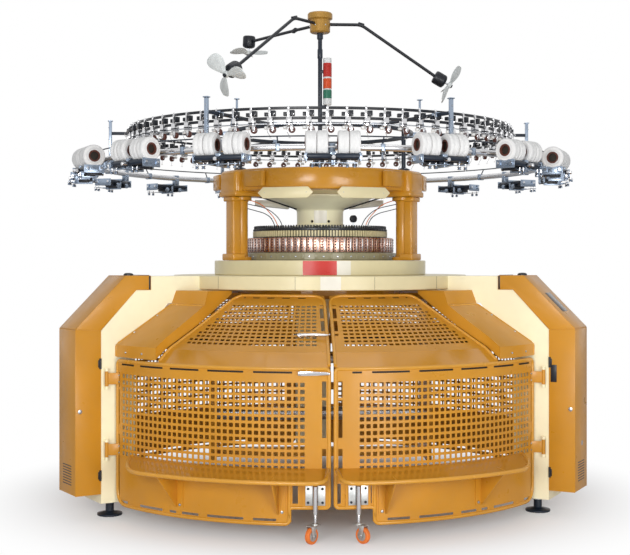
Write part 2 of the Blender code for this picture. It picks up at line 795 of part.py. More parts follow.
def screen_body(edges, hole_columns):
    """Curved perforated sheet that fills the window of a frame."""
    post = math.degrees((GATE_POST_WIDTH + SEAT_GAP) / GATE_RADIUS)
    low = GATE_SKIRT_TOP + SEAT_GAP
    high = GATE_WINDOW_TOP - SEAT_GAP
    row_shares = even_breaks(SCREEN_HOLE_ROWS, SCREEN_HOLE_SHARE, 0.04)
    rows = straight_rows([low + (high - low) * share for share in row_shares])

    def angle_at(share, radius):
        near, far = edges(radius)
        return near + post + (far - near - 2.0 * post) * share

    columns = even_breaks(hole_columns, SCREEN_HOLE_SHARE)
    return curved_sheet(rows, SCREEN_SHEET, columns, angle_at, odd_cells_open)


def hood_rows(hole_rows):
    """Rows of a hood from the top rail over the flange to the sloped screen's upper edge."""
    rows = [(GATE_RADIUS, GATE_TOP + SEAT_GAP + 0.006)]
    for share in even_breaks(hole_rows, 0.6, 0.05):
        radius = HOOD_LOWER_RADIUS + (HOOD_UPPER_RADIUS - HOOD_LOWER_RADIUS) * share
        height = HOOD_LOWER_HEIGHT + (HOOD_UPPER_HEIGHT - HOOD_LOWER_HEIGHT) * share
        rows.append((radius, height))
    return rows


def hood_share(radius):
    """How far up the slope a radius lies, from 0 at its lower edge to 1 at its upper edge."""
    share = (HOOD_LOWER_RADIUS - radius) / (HOOD_LOWER_RADIUS - HOOD_UPPER_RADIUS)
    return min(max(share, 0.0), 1.0)


def gate_hood_body():
    """Hood of the right gate: it narrows upward and leaves a notch where the gates meet."""
    half_gap = GATE_MEETING_GAP / 2

    def angle_at(share, radius):
        rise = hood_share(radius)
        notch = HOOD_NOTCH_WIDTH * max(0.0, (rise - 0.35) / 0.65) ** 2
        near = side_angle(radius, half_gap + notch)
        far = HOOD_LOWER_ANGLE + (HOOD_UPPER_ANGLE - HOOD_LOWER_ANGLE) * rise
        return near + (far - near) * share

    def is_open(column, row):
        return row >= 2 and row % 2 == 0 and column % 2 == 1

    columns = even_breaks(HOOD_HOLE_COLUMNS, 0.6, 0.03)
    return curved_sheet(hood_rows(HOOD_HOLE_ROWS), HOOD_SHEET, columns, angle_at, is_open)


def guard_hood_body(turn):
    """Hood of a fixed guard, from leg to leg."""
    def angle_at(share, radius):
        half = bay_half_angle(radius)
        return turn - half + 2.0 * half * share

    def is_open(column, row):
        return row >= 2 and row % 2 == 0 and column % 2 == 1

    columns = even_breaks(GUARD_HOOD_COLUMNS, 0.6, 0.14)
    return curved_sheet(hood_rows(HOOD_HOLE_ROWS), HOOD_SHEET, columns, angle_at, is_open)


def corner_cover_body():
    """Fixed sloped cover between the right gate's hood and the right leg, with its apron under the bed."""
    gap_angle = math.degrees(SWING_GAP / HOOD_LOWER_RADIUS)
    apron_height = BED_BOTTOM - SEAT_GAP - HOOD_SHEET / 2
    rows = [
        (GATE_RADIUS, GATE_TOP + SWING_GAP),
        (GATE_RADIUS, COVER_EDGE_HEIGHT),
        (GATE_RADIUS - COVER_FOLD_SETBACK, COVER_FOLD_HEIGHT),
        (APRON_RADIUS + APRON_LIP, APRON_BOTTOM),
        (APRON_RADIUS, apron_height),
        (BED_RADIUS - LEG_BED_OVERLAP, apron_height),
    ]

    def angle_at(share, radius):
        near = HOOD_LOWER_ANGLE + (HOOD_UPPER_ANGLE - HOOD_LOWER_ANGLE) * hood_share(radius) + gap_angle
        near = max(near, APRON_START_ANGLE)
        far = bay_half_angle(radius)
        return near + (far - near) * share

    return curved_sheet(rows, HOOD_SHEET, [0.0, 0.25, 0.5, 0.75, 1.0], angle_at)


def build_corner_covers():
    as_object("corner_cover_right", corner_cover_body(), "ochre paint")
    as_object("corner_cover_left", mirrored(corner_cover_body()), "ochre paint")


def build_guards():
    for side, turn in (("left", -120.0), ("right", 120.0)):
        def edges(radius, turn=turn):
            half = bay_half_angle(radius)
            return turn - half, turn + half

        props = [turn + angle for angle in (-GUSSET_ANGLES[1], -GUSSET_ANGLES[0], *GUSSET_ANGLES)]
        near, far = edges(GATE_RADIUS)
        ends = (near + SHELF_LEG_INSET, far - SHELF_LEG_INSET)
        shelf = shelf_body(*ends, SHELF_FREE_CORNER, SHELF_FREE_CORNER, GUARD_SHELF_REACH)
        frame = frame_body(edges, shelf, props, reach=GUARD_SHELF_REACH)
        as_object("guard_%s_frame" % side, frame, "ochre paint")
        as_object("guard_%s_screen" % side, screen_body(edges, GUARD_HOLE_COLUMNS), "ochre paint")
        as_object("guard_%s_hood" % side, guard_hood_body(turn), "ochre paint")


def gate_edges(_radius):
    """Turn angles of the right gate's free edge and hinged edge, the same at every radius."""
    start = side_angle(GATE_RADIUS, GATE_MEETING_GAP / 2)
    end = 60.0 - side_angle(GATE_RADIUS, CABINET_WIDTH / 2 + SWING_GAP)
    return start, end


def gate_frame_body(side):
    """A gate's frame with its two hinge knuckles, drawn as the right gate."""
    start, end = gate_edges(GATE_RADIUS)
    shelf = shelf_body(
        start + SHELF_FREE_INSET, end - SHELF_HINGE_INSET, SHELF_FREE_CORNER, SHELF_HINGE_CORNER
    )
    cutout = side_angle(GATE_RADIUS, CASTER_CUTOUT_WIDTH)
    caster = side_angle(GATE_RADIUS, abs(CASTER_OFFSETS[side]))
    bodies = [frame_body(gate_edges, shelf, GUSSET_ANGLES, cutout, caster)]
    axis = hinge_point()
    for height in HINGE_HEIGHTS:
        low = height - HINGE_KNUCKLE_LENGTH / 2
        high = height + HINGE_KNUCKLE_LENGTH / 2
        bodies.append(disc_between((axis.x, axis.y, low), (axis.x, axis.y, high), HINGE_KNUCKLE_RADIUS))
        root = polar(GATE_RADIUS, end - 0.9)
        strap = [Vector((axis.x, axis.y, height)), Vector((root.x, root.y, height))]
        across = (strap[1] - strap[0]).normalized()
        side = Vector((-across.y, across.x, 0.0)) * 0.005
        corners = [strap[0] - side, strap[0] + side, strap[1] + side, strap[1] - side]
        vertices = [Vector((c.x, c.y, low + 0.010)) for c in corners]
        vertices.extend(Vector((c.x, c.y, high - 0.010)) for c in corners)
        faces = [(0, 1, 2, 3), (4, 5, 6, 7), (0, 1, 5, 4), (1, 2, 6, 5), (2, 3, 7, 6), (3, 0, 4, 7)]
        bodies.append(solid_from(vertices, faces))
    return combined(bodies)


def caster_stem_point(side):
    offset = CASTER_OFFSETS[side]
    radius = GATE_RADIUS + GATE_SHEET / 2 + SEAT_GAP + 0.006 + CASTER_STEM_RADIUS
    return Vector((offset, -math.sqrt(radius * radius - offset * offset), 0.0))


def caster_plate_body(side):
    """Flat mounting plate with the clamp that holds the caster's stem."""
    stem = caster_stem_point(side)
    turn = math.degrees(math.atan2(stem.x, -stem.y))
    inner = GATE_RADIUS + GATE_SHEET / 2 + SEAT_GAP
    high = CASTER_PLATE_BOTTOM + CASTER_PLATE_SIZE
    plate = radial_block(turn, inner, inner + 0.006, CASTER_PLATE_SIZE, CASTER_PLATE_BOTTOM, high)
    sleeve = disc_between((stem.x, stem.y, CASTER_PLATE_BOTTOM - 0.050), (stem.x, stem.y, high), 0.013)
    return combined([plate, sleeve])


def build_caster(side):
    stem = caster_stem_point(side)
    rest = Matrix.Rotation(math.radians(CASTER_REST_TURNS[side]), 4, "Z")
    outward = rest @ Vector((stem.x, stem.y, 0.0)).normalized()
    centre = stem - outward * CASTER_TRAIL
    radius = CASTER_WHEEL_RADIUS
    crown = radius * 2 + 0.012
    turn = math.degrees(math.atan2(stem.x, -stem.y))
    bodies = [disc_between((stem.x, stem.y, crown), (stem.x, stem.y, CASTER_PLATE_BOTTOM - 0.0503), 0.009)]
    cheek = CASTER_WHEEL_WIDTH / 2 + 0.002
    bodies.append(placed(
        block((-cheek - 0.006, -0.024, crown - 0.004), (cheek + 0.006, 0.024 + CASTER_TRAIL, crown + 0.004)),
        Matrix.Translation(stem) @ facing(turn) @ rest,
    ))
    for sign in (-1.0, 1.0):
        low = min(sign * cheek, sign * (cheek + 0.004))
        outline = [(-0.016, crown), (-0.004, radius - 0.012), (0.012, radius - 0.012), (0.020, crown)]
        vertices = []
        for x in (low, low + 0.004):
            vertices.extend(Vector((x, y + CASTER_TRAIL, z)) for y, z in outline)
        faces = [(0, 1, 2, 3), (4, 5, 6, 7), (0, 1, 5, 4), (1, 2, 6, 5), (2, 3, 7, 6), (3, 0, 4, 7)]
        bodies.append(placed(solid_from(vertices, faces), Matrix.Translation(stem) @ facing(turn) @ rest))
    fork = combined(bodies)
    as_object("caster_fork_" + side, fork, "zinc", origin=stem, smooth=True)
    half = CASTER_WHEEL_WIDTH / 2
    hub_end = cheek - SEAT_GAP
    wheel = turned(
        [
            (0.010, -hub_end),
            (0.010, -half),
            (radius - 0.006, -half),
            (radius, -half + 0.006),
            (radius, half - 0.006),
            (radius - 0.006, half),
            (0.010, half),
            (0.010, hub_end),
        ],
        ROD_FACETS,
    )
    axle = outward.cross(Vector((0.0, 0.0, 1.0)))
    spin = axle.to_track_quat("Z", "Y").to_matrix().to_4x4()
    hub = centre + Vector((0.0, 0.0, radius))
    wheel = placed(wheel, Matrix.Translation(hub) @ spin)
    as_object("caster_wheel_" + side, wheel, "orange wheel", origin=hub, smooth=True)


def latch_seat(height):
    """A latch's pivot on the left gate: point, outward normal and direction to its tip."""
    if height < HOOD_LOWER_HEIGHT:
        radius = GATE_RADIUS
        normal = Vector((0.0, -1.0, 0.0))
        skin = GATE_SHEET / 2
    else:
        run = HOOD_LOWER_RADIUS - HOOD_UPPER_RADIUS
        rise = HOOD_UPPER_HEIGHT - HOOD_LOWER_HEIGHT
        radius = HOOD_LOWER_RADIUS - (height - HOOD_LOWER_HEIGHT) * run / rise
        normal = Vector((0.0, -rise, run)).normalized()
        skin = HOOD_SHEET / 2
    turn = -side_angle(radius, LATCH_LENGTH)
    normal = facing(turn).to_3x3() @ normal
    return polar(radius, turn, height) + normal * skin, normal, polar(1.0, turn + 90.0)


def build_latch(name, height):
    """A chrome lever on the left gate whose tip reaches the gap between the gates."""
    seat, normal, along = latch_seat(height)
    root = seat + normal * LATCH_STANDOFF
    tip = root + along * (LATCH_LENGTH - GATE_MEETING_GAP)
    lever = combined([
        disc_between(root, tip, LATCH_BAR_RADIUS),
        disc_between(seat + normal * SEAT_GAP, root + normal * 0.012, LATCH_BOSS_RADIUS),
    ])
    as_object(name, lever, "chrome", origin=seat, smooth=True)


def build_gates():
    axis = hinge_point()
    for side in ("right", "left"):
        mirror = mirrored if side == "left" else (lambda body: body)
        origin = Vector((axis.x if side == "right" else -axis.x, axis.y, 0.0))
        parts = {
            "frame": gate_frame_body(side),
            "screen": screen_body(gate_edges, SCREEN_HOLE_COLUMNS),
            "hood": gate_hood_body(),
        }
        for part, body in parts.items():
            as_object("gate_%s_%s" % (side, part), mirror(body), "ochre paint", origin=origin)
        as_object("caster_plate_" + side, caster_plate_body(side), "zinc", origin=origin)
        build_caster(side)
    build_latch("latch_lower", LATCH_LOWER_HEIGHT)
    build_latch("latch_upper", LATCH_UPPER_HEIGHT)


def build_head():
    base = ring(BED_BORE_RADIUS, CAM_BASE_RADIUS, BED_RING_TOP + SEAT_GAP, CAM_BASE_TOP)
    as_object("cam_base", base, "black paint", smooth=True)
    cams = ring(BED_BORE_RADIUS, CAM_RING_RADIUS, CAM_BASE_TOP + SEAT_GAP, CAM_RING_TOP)
    as_object("cam_ring", cams, "pink steel", smooth=True)
    dial = turned([(DIAL_RADIUS, CAM_RING_TOP + SEAT_GAP), (DIAL_RADIUS, DIAL_TOP)], RING_FACETS)
    as_object("dial_ring", dial, "khaki", smooth=True)
    column = turned(
        [
            (COLUMN_RADIUS, DIAL_TOP + SEAT_GAP),
            (COLUMN_RADIUS, COLUMN_FLARE_START),
            (COLUMN_FLARE_RADIUS, COLUMN_FLARE_END),
            (COLUMN_FLARE_RADIUS, COLUMN_FLARE_END + COLUMN_RIM_HEIGHT),
            (COLUMN_NECK_RADIUS, COLUMN_FLARE_END + COLUMN_RIM_HEIGHT * 2),
            (COLUMN_NECK_RADIUS, FRAME_HUB_BOTTOM - SEAT_GAP),
        ],
        32,
    )
    as_object("dial_column", column, "cream paint", smooth=True)


def build_upper_frame():
    inner = FRAME_OUTER_RADIUS - FRAME_BEAM_DEPTH
    bodies = [ring(inner, FRAME_OUTER_RADIUS, FRAME_BOTTOM, FRAME_TOP)]
    bodies.append(turned([(FRAME_HUB_RADIUS, FRAME_HUB_BOTTOM), (FRAME_HUB_RADIUS, FRAME_TOP - 0.004)], 32))
    for turn in LEG_ANGLES.values():
        bodies.append(radial_block(
            turn, FRAME_HUB_RADIUS - 0.050, inner + 0.040, FRAME_SPOKE_WIDTH,
            FRAME_BOTTOM + 0.030, FRAME_TOP - 0.012
        ))
        bodies.append(radial_block(
            turn, CORNER_BLOCK_INNER, CORNER_BLOCK_OUTER, CORNER_BLOCK_WIDTH,
            CORNER_BLOCK_BOTTOM, FRAME_TOP - 0.003
        ))
    as_object("upper_frame", combined(bodies), "ochre casting", smooth=True)
    for side, turn in LEG_ANGLES.items():
        low = BED_RING_TOP + SEAT_GAP
        high = CORNER_BLOCK_BOTTOM - SEAT_GAP
        pillar = turned(
            [
                (PILLAR_FLANGE_RADIUS, low),
                (PILLAR_FLANGE_RADIUS, low + PILLAR_FLANGE_HEIGHT),
                (PILLAR_RADIUS, low + PILLAR_FLANGE_HEIGHT * 1.5),
                (PILLAR_RADIUS, high - PILLAR_FLANGE_HEIGHT * 1.5),
                (PILLAR_FLANGE_RADIUS, high - PILLAR_FLANGE_HEIGHT),
                (PILLAR_FLANGE_RADIUS, high),
            ],
            16,
        )
        pillar = placed(pillar, Matrix.Translation(polar(PILLAR_ORBIT, turn)))
        web = radial_block(
            turn, PILLAR_WEB_INNER, PILLAR_WEB_OUTER, PILLAR_WEB_WIDTH, low + 0.002, high - 0.002
        )
        as_object("pillar_" + side, combined([pillar, web]), "ochre casting", smooth=True)


def build_signs():
    """Bare six-sided panels hung in front of the upper frame's lower edge."""
    for side, turn in (("left", -SIGN_ANGLE), ("right", SIGN_ANGLE)):
        half = SIGN_WIDTH / 2
        slope = SIGN_HEIGHT / 2
        top = SIGN_TOP
        outline = [
            (-half, top - slope), (-half + slope, top - SIGN_HEIGHT), (half - slope, top - SIGN_HEIGHT),
            (half, top - slope), (half - slope, top), (-half + slope, top),
        ]
        back = -(FRAME_OUTER_RADIUS + SEAT_GAP)
        vertices = [Vector((x, y, z)) for y in (back, back - SIGN_THICKNESS) for x, z in outline]
        faces = [tuple(range(6)), tuple(range(6, 12))]
        faces.extend((i, (i + 1) % 6, 6 + (i + 1) % 6, 6 + i) for i in range(6))
        panel = placed(solid_from(vertices, faces), facing(turn))
        as_object("sign_" + side, panel, "cream paint")


def build_pole():
    pole = turned(
        [
            (0.055, FRAME_TOP - 0.004 + SEAT_GAP),
            (0.055, FRAME_TOP + 0.016),
            (POLE_RADIUS, FRAME_TOP + 0.020),
            (POLE_RADIUS, POLE_TOP - SEAT_GAP),
        ],
        16,
    )
    bracket = block((POLE_RADIUS - 0.004, -0.012, SIGNAL_BOTTOM - 0.024),
                    (SIGNAL_OFFSET + 0.020, 0.012, SIGNAL_BOTTOM - SEAT_GAP))
    as_object("fan_pole", combined([pole, bracket]), "black paint", smooth=True)
    light = turned([(SIGNAL_RADIUS, SIGNAL_BOTTOM), (SIGNAL_RADIUS, SIGNAL_TOP)], 20)
    light = placed(light, Matrix.Translation(Vector((SIGNAL_OFFSET, 0.0, 0.0))))
    as_object("signal_light", light, "signal red", smooth=True)


def fan_end(fan):
    return polar(fan["reach"], fan["turn"], fan["height"])


def fan_axis(fan):
    """Direction of a propeller's shaft: down, tipped outward by its tilt."""
    tilt = math.radians(fan["tilt"])
    outward = polar(1.0, fan["turn"])
    return outward * math.sin(tilt) - Vector((0.0, 0.0, math.cos(tilt)))


def build_fans():
    bodies = [turned(
        [
            (HEAD_LOWER_RADIUS, POLE_TOP),
            (HEAD_LOWER_RADIUS, HEAD_SPLIT),
            (HEAD_UPPER_RADIUS, HEAD_SPLIT + 0.006),
            (HEAD_UPPER_RADIUS, HEAD_TOP),
        ],
        24,
    )]
    for fan in FANS.values():
        tip = fan_end(fan)
        shaft = fan_axis(fan)
        elbow = polar(FAN_BEND_RADIUS, fan["turn"], FAN_ARM_HEIGHT)
        bodies.append(bent_bar([polar(0.02, fan["turn"], FAN_ARM_HEIGHT), elbow, tip], FAN_ARM_RADIUS))
        back = tip - shaft * MOTOR_LENGTH / 2
        front = tip + shaft * MOTOR_LENGTH / 2
        bodies.append(disc_between(back, front, MOTOR_RADIUS, 16))
        bodies.append(disc_between(front - shaft * 0.010, front + shaft * 0.020, 0.006, 8))
    as_object("fan_head", combined(bodies), "brass paint", origin=(0.0, 0.0, POLE_TOP), smooth=True)
    for name, fan in FANS.items():
        hub = fan_end(fan) + fan_axis(fan) * (MOTOR_LENGTH / 2 + 0.020 + SEAT_GAP)
        rotor = [turned([(BLADE_HUB_RADIUS, 0.0), (BLADE_HUB_RADIUS, 0.022), (0.008, 0.034)], 12)]
        for blade in range(3):
            outline = [
                (0.012, -0.010), (0.060, -0.042), (0.110, -0.046), (BLADE_TIP_RADIUS, -0.020),
                (BLADE_TIP_RADIUS, 0.024), (0.100, 0.044), (0.050, 0.030), (0.012, 0.012),
            ]
            half = BLADE_THICKNESS / 2
            vertices = [Vector((x, y, z)) for z in (-half, half) for x, y in outline]
            count = len(outline)
            faces = [tuple(range(count)), tuple(range(count, 2 * count))]
            faces.extend((i, (i + 1) % count, count + (i + 1) % count, count + i) for i in range(count))
            plate = solid_from(vertices, faces)
            pose = (Matrix.Translation(Vector((0.0, 0.0, 0.011)))
                    @ Matrix.Rotation(math.radians(120.0 * blade), 4, "Z")
                    @ Matrix.Rotation(math.radians(BLADE_PITCH), 4, "X"))
            rotor.append(placed(plate, pose))
        body = combined(rotor)
        turn = fan_axis(fan).to_track_quat("Z", "Y").to_matrix().to_4x4()
        body = placed(body, Matrix.Translation(hub) @ turn)
        as_object("propeller_" + name, body, "blade grey", origin=hub)


def build_creel():
    bodies = []
    top = CREEL_SPOKE_HEIGHT + CREEL_SPOKE_HALF
    low = CREEL_SPOKE_HEIGHT - CREEL_SPOKE_HALF
    half = CREEL_RING_WIDTH / 2
    bodies.append(ring(CREEL_COLUMN_ORBIT - half, CREEL_COLUMN_ORBIT + half, low - 0.002, top + 0.002))
    for turn in LEG_ANGLES.values():
        foot = polar(CREEL_COLUMN_ORBIT, turn, FRAME_TOP + SEAT_GAP)
        raised = foot + Vector((0.0, 0.0, 0.004))
        head = polar(CREEL_COLUMN_ORBIT, turn, top - 0.004)
        bodies.append(disc_between(raised, head, CREEL_COLUMN_RADIUS))
        flange_top = foot + Vector((0.0, 0.0, CREEL_FOOT_HEIGHT))
        bodies.append(disc_between(foot, flange_top, CREEL_FOOT_RADIUS, 16))
    for index in range(CREEL_SPOKES):
        turn = 30.0 + 360.0 * index / CREEL_SPOKES
        bodies.append(radial_block(turn, CREEL_COLUMN_ORBIT, CREEL_SPOKE_REACH, CREEL_SPOKE_WIDTH, low, top))
        post_low = ELASTANE_TUBE_HEIGHT + ELASTANE_TUBE_RADIUS + SEAT_GAP
        deep = CREEL_POST_DEPTH / 2
        bodies.append(radial_block(
            turn, CREEL_SPOKE_REACH - deep, CREEL_SPOKE_REACH + deep, CREEL_POST_WIDTH,
            ELASTANE_TUBE_HEIGHT - 0.010, top + 0.020
        ))
        bodies.append(radial_block(
            turn, CREEL_SPOKE_REACH, ELASTANE_RING_RADIUS, CREEL_TAB_WIDTH,
            post_low, post_low + CREEL_TAB_HEIGHT
        ))
    as_object("creel_support", combined(bodies), "blue steel")


def build_feeder_ring():
    inner = FEEDER_RING_RADIUS - FEEDER_RAIL_DEPTH / 2
    outer = FEEDER_RING_RADIUS + FEEDER_RAIL_DEPTH / 2
    bodies = []
    for low in (CREEL_SPOKE_HEIGHT - FEEDER_RAIL_DROP, CREEL_SPOKE_HEIGHT + FEEDER_RAIL_RISE):
        bodies.append(ring(inner, outer, low, low + FEEDER_RAIL_HEIGHT))
    for index in range(FEEDER_COUNT):
        turn = 360.0 * (index + 0.5) / FEEDER_COUNT
        bodies.append(radial_block(
            turn, inner - 0.004, outer + 0.004, FEEDER_BODY_WIDTH,
            CREEL_SPOKE_HEIGHT - FEEDER_BODY_DROP, CREEL_SPOKE_HEIGHT + FEEDER_BODY_RISE
        ))
    as_object("feeder_ring", combined(bodies), "black paint")


def unit_turns():
    return [360.0 * index / ELASTANE_UNITS - 180.0 for index in range(1, ELASTANE_UNITS + 1)]


def lying(turn, radius, height):
    """Pose at a point on a radius, with Z along the tangent and Y up."""
    inward = -polar(1.0, turn)
    along = polar(1.0, turn + 90.0)
    pose = Matrix((inward, Vector((0.0, 0.0, 1.0)), along)).transposed().to_4x4()
    return Matrix.Translation(polar(radius, turn, height)) @ pose


def across(turn, radius, height, length, bar_radius, facets=ROD_FACETS, twist=0.0):
    """A round bar square to the radius at a turn angle, centred on it."""
    bar = turned([(bar_radius, -length / 2), (bar_radius, length / 2)], facets)
    bar = placed(bar, Matrix.Rotation(math.radians(twist), 4, "Z"))
    return placed(bar, lying(turn, radius, height))


def build_elastane_ring():
    tube = [
        (ELASTANE_RING_RADIUS + ELASTANE_TUBE_RADIUS * math.cos(math.radians(60.0 * step + 30.0)),
         ELASTANE_TUBE_HEIGHT + ELASTANE_TUBE_RADIUS * math.sin(math.radians(60.0 * step + 30.0)))
        for step in range(6)
    ]
    bodies = [swept(tube, 0.0, 360.0, RING_FACETS)]
    for turn in unit_turns():
        centre = ELASTANE_UNIT_RADIUS
        half = ELASTANE_CLAMP_DEPTH / 2
        bodies.append(radial_block(
            turn, ELASTANE_RING_RADIUS - half, ELASTANE_RING_RADIUS + half, ELASTANE_CLAMP_WIDTH,
            ELASTANE_TUBE_HEIGHT - ELASTANE_CLAMP_DROP, ELASTANE_TUBE_HEIGHT - ELASTANE_CLAMP_SEAT
        ))
        beam_low = ROLLER_HEIGHT + ELASTANE_BEAM_RISE
        bodies.append(radial_block(
            turn, ELASTANE_RING_RADIUS - half - 0.004, centre + ELASTANE_BEAM_OVERHANG, ELASTANE_BEAM_WIDTH,
            beam_low, beam_low + ELASTANE_BEAM_HEIGHT
        ))
        web_low = ROLLER_HEIGHT - ELASTANE_WEB_DROP
        bodies.append(radial_block(
            turn, centre - ELASTANE_WEB_DEPTH / 2, centre + ELASTANE_WEB_DEPTH / 2, ELASTANE_WEB_WIDTH,
            web_low, web_low + ELASTANE_WEB_HEIGHT
        ))
        for side in (-1.0, 1.0):
            bodies.append(across(turn, centre + side * CRADLE_SIDE, ROLLER_HEIGHT,
                                 ELASTANE_UNIT_LENGTH, ROLLER_RADIUS, 6, 30.0))
    as_object("elastane_ring", combined(bodies), "chrome", smooth=True)


def package_row(turn):
    """Four yarn cheeses on one tube core, resting on the two rollers of a unit."""
    inner = PACKAGE_MIDDLE_GAP / 2
    middle = inner + PACKAGE_WIDTH + PACKAGE_PAIR_GAP / 2
    outer = inner + 2.0 * PACKAGE_WIDTH + PACKAGE_PAIR_GAP
    half = [
        (PACKAGE_CORE_RADIUS, inner),
        (PACKAGE_RADIUS, inner),
        (PACKAGE_RADIUS, middle - 0.004),
        (PACKAGE_RADIUS - 0.008, middle),
        (PACKAGE_RADIUS, middle + 0.004),
        (PACKAGE_RADIUS, outer),
        (PACKAGE_CORE_RADIUS, outer),
        (PACKAGE_CORE_RADIUS, outer + 0.004),
    ]
    profile = [(radius, -place) for radius, place in reversed(half)] + half
    pose = lying(turn, ELASTANE_UNIT_RADIUS, ROLLER_HEIGHT + CRADLE_RISE)
    return placed(turned(profile, PACKAGE_FACETS), pose)


def build_packages():
    loaded = [turn for turn in unit_turns() if abs(turn) <= ELASTANE_LOADED_ANGLE]
    for number, turn in enumerate(loaded, start=1):
        as_object("yarn_packages_%d" % number, package_row(turn), "white yarn", smooth=True)


def build_take_down():
    top = BED_BOTTOM - SEAT_GAP
    ring_low = top - TAKE_DOWN_RING_HEIGHT
    bodies = [ring(TAKE_DOWN_RING_BORE, TAKE_DOWN_RING_RADIUS, ring_low, top)]
    half_thick = TAKE_DOWN_SIDE_THICKNESS / 2
    half_wide = TAKE_DOWN_SIDE_WIDTH / 2
    for side in (-1.0, 1.0):
        x = side * TAKE_DOWN_SIDE_OFFSET
        bodies.append(block((x - half_thick, -half_wide, TAKE_DOWN_SIDE_BOTTOM),
                            (x + half_thick, half_wide, ring_low + 0.010)))
    reach = TAKE_DOWN_SIDE_OFFSET
    beam = TAKE_DOWN_BEAM
    for y in (-half_wide + beam, half_wide - beam):
        bodies.append(block((-reach, y - beam / 2, ring_low - 0.030),
                            (reach, y + beam / 2, ring_low + 0.012)))
    bodies.append(block((-reach, -beam / 2, TAKE_DOWN_SIDE_BOTTOM + 0.010),
                        (reach, beam / 2, TAKE_DOWN_SIDE_BOTTOM + 0.010 + beam)))
    as_object("take_down_frame", combined(bodies), "ochre paint")
    inside = TAKE_DOWN_SIDE_OFFSET - half_thick - SEAT_GAP
    rollers = []
    for y in (-1.0, 0.0, 1.0):
        shift = y * (2.0 * NIP_ROLLER_RADIUS - 0.002)
        ends = [(side * inside, shift, NIP_ROLLER_HEIGHT) for side in (-1.0, 1.0)]
        rollers.append(disc_between(ends[0], ends[1], NIP_ROLLER_RADIUS))
    as_object("take_down_rollers", combined(rollers), "chrome", smooth=True)
    ends = [(side * inside, 0.0, BATCH_ROLLER_HEIGHT) for side in (-1.0, 1.0)]
    batch = disc_between(ends[0], ends[1], BATCH_ROLLER_RADIUS, 16)
    as_object("batch_roller", batch, "chrome", smooth=True)


def main():
    clear_scene()
    build_bed()
    build_legs()
    build_cabinets()
    build_corner_covers()
    build_guards()
    build_gates()
    build_head()
    build_upper_frame()
    build_signs()
    build_pole()
    build_fans()
    build_creel()
    build_feeder_ring()
    build_elastane_ring()
    build_packages()
    build_take_down()


main()
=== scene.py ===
"""Looks of a circular knitting machine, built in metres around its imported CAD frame.

A turn is an angle in degrees about +Z from the front (-Y), positive towards +X.
"""
import math

import bmesh
import bpy
import numpy as np
from mathutils import Matrix, Vector


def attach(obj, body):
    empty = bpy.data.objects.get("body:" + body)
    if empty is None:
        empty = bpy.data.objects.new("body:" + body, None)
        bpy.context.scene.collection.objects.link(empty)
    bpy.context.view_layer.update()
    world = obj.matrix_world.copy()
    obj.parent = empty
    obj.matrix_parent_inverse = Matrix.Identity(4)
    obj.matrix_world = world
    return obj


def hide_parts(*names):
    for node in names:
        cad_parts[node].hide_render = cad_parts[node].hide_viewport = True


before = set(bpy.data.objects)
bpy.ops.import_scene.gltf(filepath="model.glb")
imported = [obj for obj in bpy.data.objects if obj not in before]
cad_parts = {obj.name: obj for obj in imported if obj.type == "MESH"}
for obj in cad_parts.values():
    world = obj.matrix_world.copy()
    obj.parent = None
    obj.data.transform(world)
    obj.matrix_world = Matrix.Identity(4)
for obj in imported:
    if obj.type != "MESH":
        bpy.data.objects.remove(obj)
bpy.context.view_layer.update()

LEGS = {"left": -60.0, "right": 60.0, "rear": 180.0}
BAYS = {"left": -120.0, "right": 120.0}
LEG_CLEARANCE = 0.1303  # from the middle plane of a leg to the leaves beside it
GATE_RADIUS = 1.55
BORE = 0.4
BED_RADIUS, BED_TOP = 0.99, 1.4643
BED_RING_RADIUS, BED_RING_TOP = 0.716, 1.5606
CABINET_RADIUS, CABINET_TOP = 1.804, 1.467
HOOD_FOOT, HOOD_FOLD, HOOD_TOP = (1.553, 0.9665), (1.46, 1.04), (0.93, 1.345)
CASTER_RADIUS = 1.5773
CASTER_OFFSETS = {"left": -0.095, "right": 0.145}
CASTER_REST = {"left": 142.0, "right": -142.0}
CAM_RADIUS, CAM_COUNT = 0.49, 72
FEEDER_COUNT = 72
PILLAR_RADIUS, PILLAR_TOP = 0.62, 1.9747
RAIL_RADIUS = 1.28
ELASTANE_RADIUS, ELASTANE_HEIGHT = 1.5, 2.19
UNIT_RADIUS, ROLLER_HEIGHT = 1.6, 2.128
UNIT_TURNS = [22.5 * index - 180.0 for index in range(1, 17)]


# Geometry: a part is (points, faces), a Piece gathers parts for one object

def polar(radius, turn, height=0.0):
    angle = math.radians(turn)
    return Vector((radius * math.sin(angle), -radius * math.cos(angle), height))


def at(turn, radius=0.0, height=0.0):
    """Pose with X along the tangent, Y towards the axis and Z up."""
    return Matrix.Translation(polar(radius, turn, height)) @ Matrix.Rotation(math.radians(turn), 4, "Z")


def shift(x=0.0, y=0.0, z=0.0):
    return Matrix.Translation((x, y, z))


def spin(degrees, axis):
    return Matrix.Rotation(math.radians(degrees), 4, axis)


def facing(turn, radius, height):
    """Pose of something that stands on an upright round wall, with Z outwards."""
    return at(turn, radius, height) @ spin(90, "X")


def aimed(spot, direction):
    """Pose at a spot with Z along a direction."""
    return Matrix.Translation(spot) @ direction.to_track_quat("Z", "Y").to_matrix().to_4x4()


def arrays(body):
    bmesh.ops.recalc_face_normals(body, faces=body.faces)
    body.verts.index_update()
    points = np.array([vertex.co[:] for vertex in body.verts])
    faces = [tuple(vertex.index for vertex in face.verts) for face in body.faces]
    body.free()
    return points, faces


def moved(part, place):
    points, faces = part
    pose = np.array(place)
    return points @ pose[:3, :3].T + pose[:3, 3], faces


def eased(body, width, segments=2):
    if width:
        bmesh.ops.bevel(body, geom=body.edges[:], offset=width, segments=segments, profile=0.5,
                        affect="EDGES", clamp_overlap=True)
    return arrays(body)


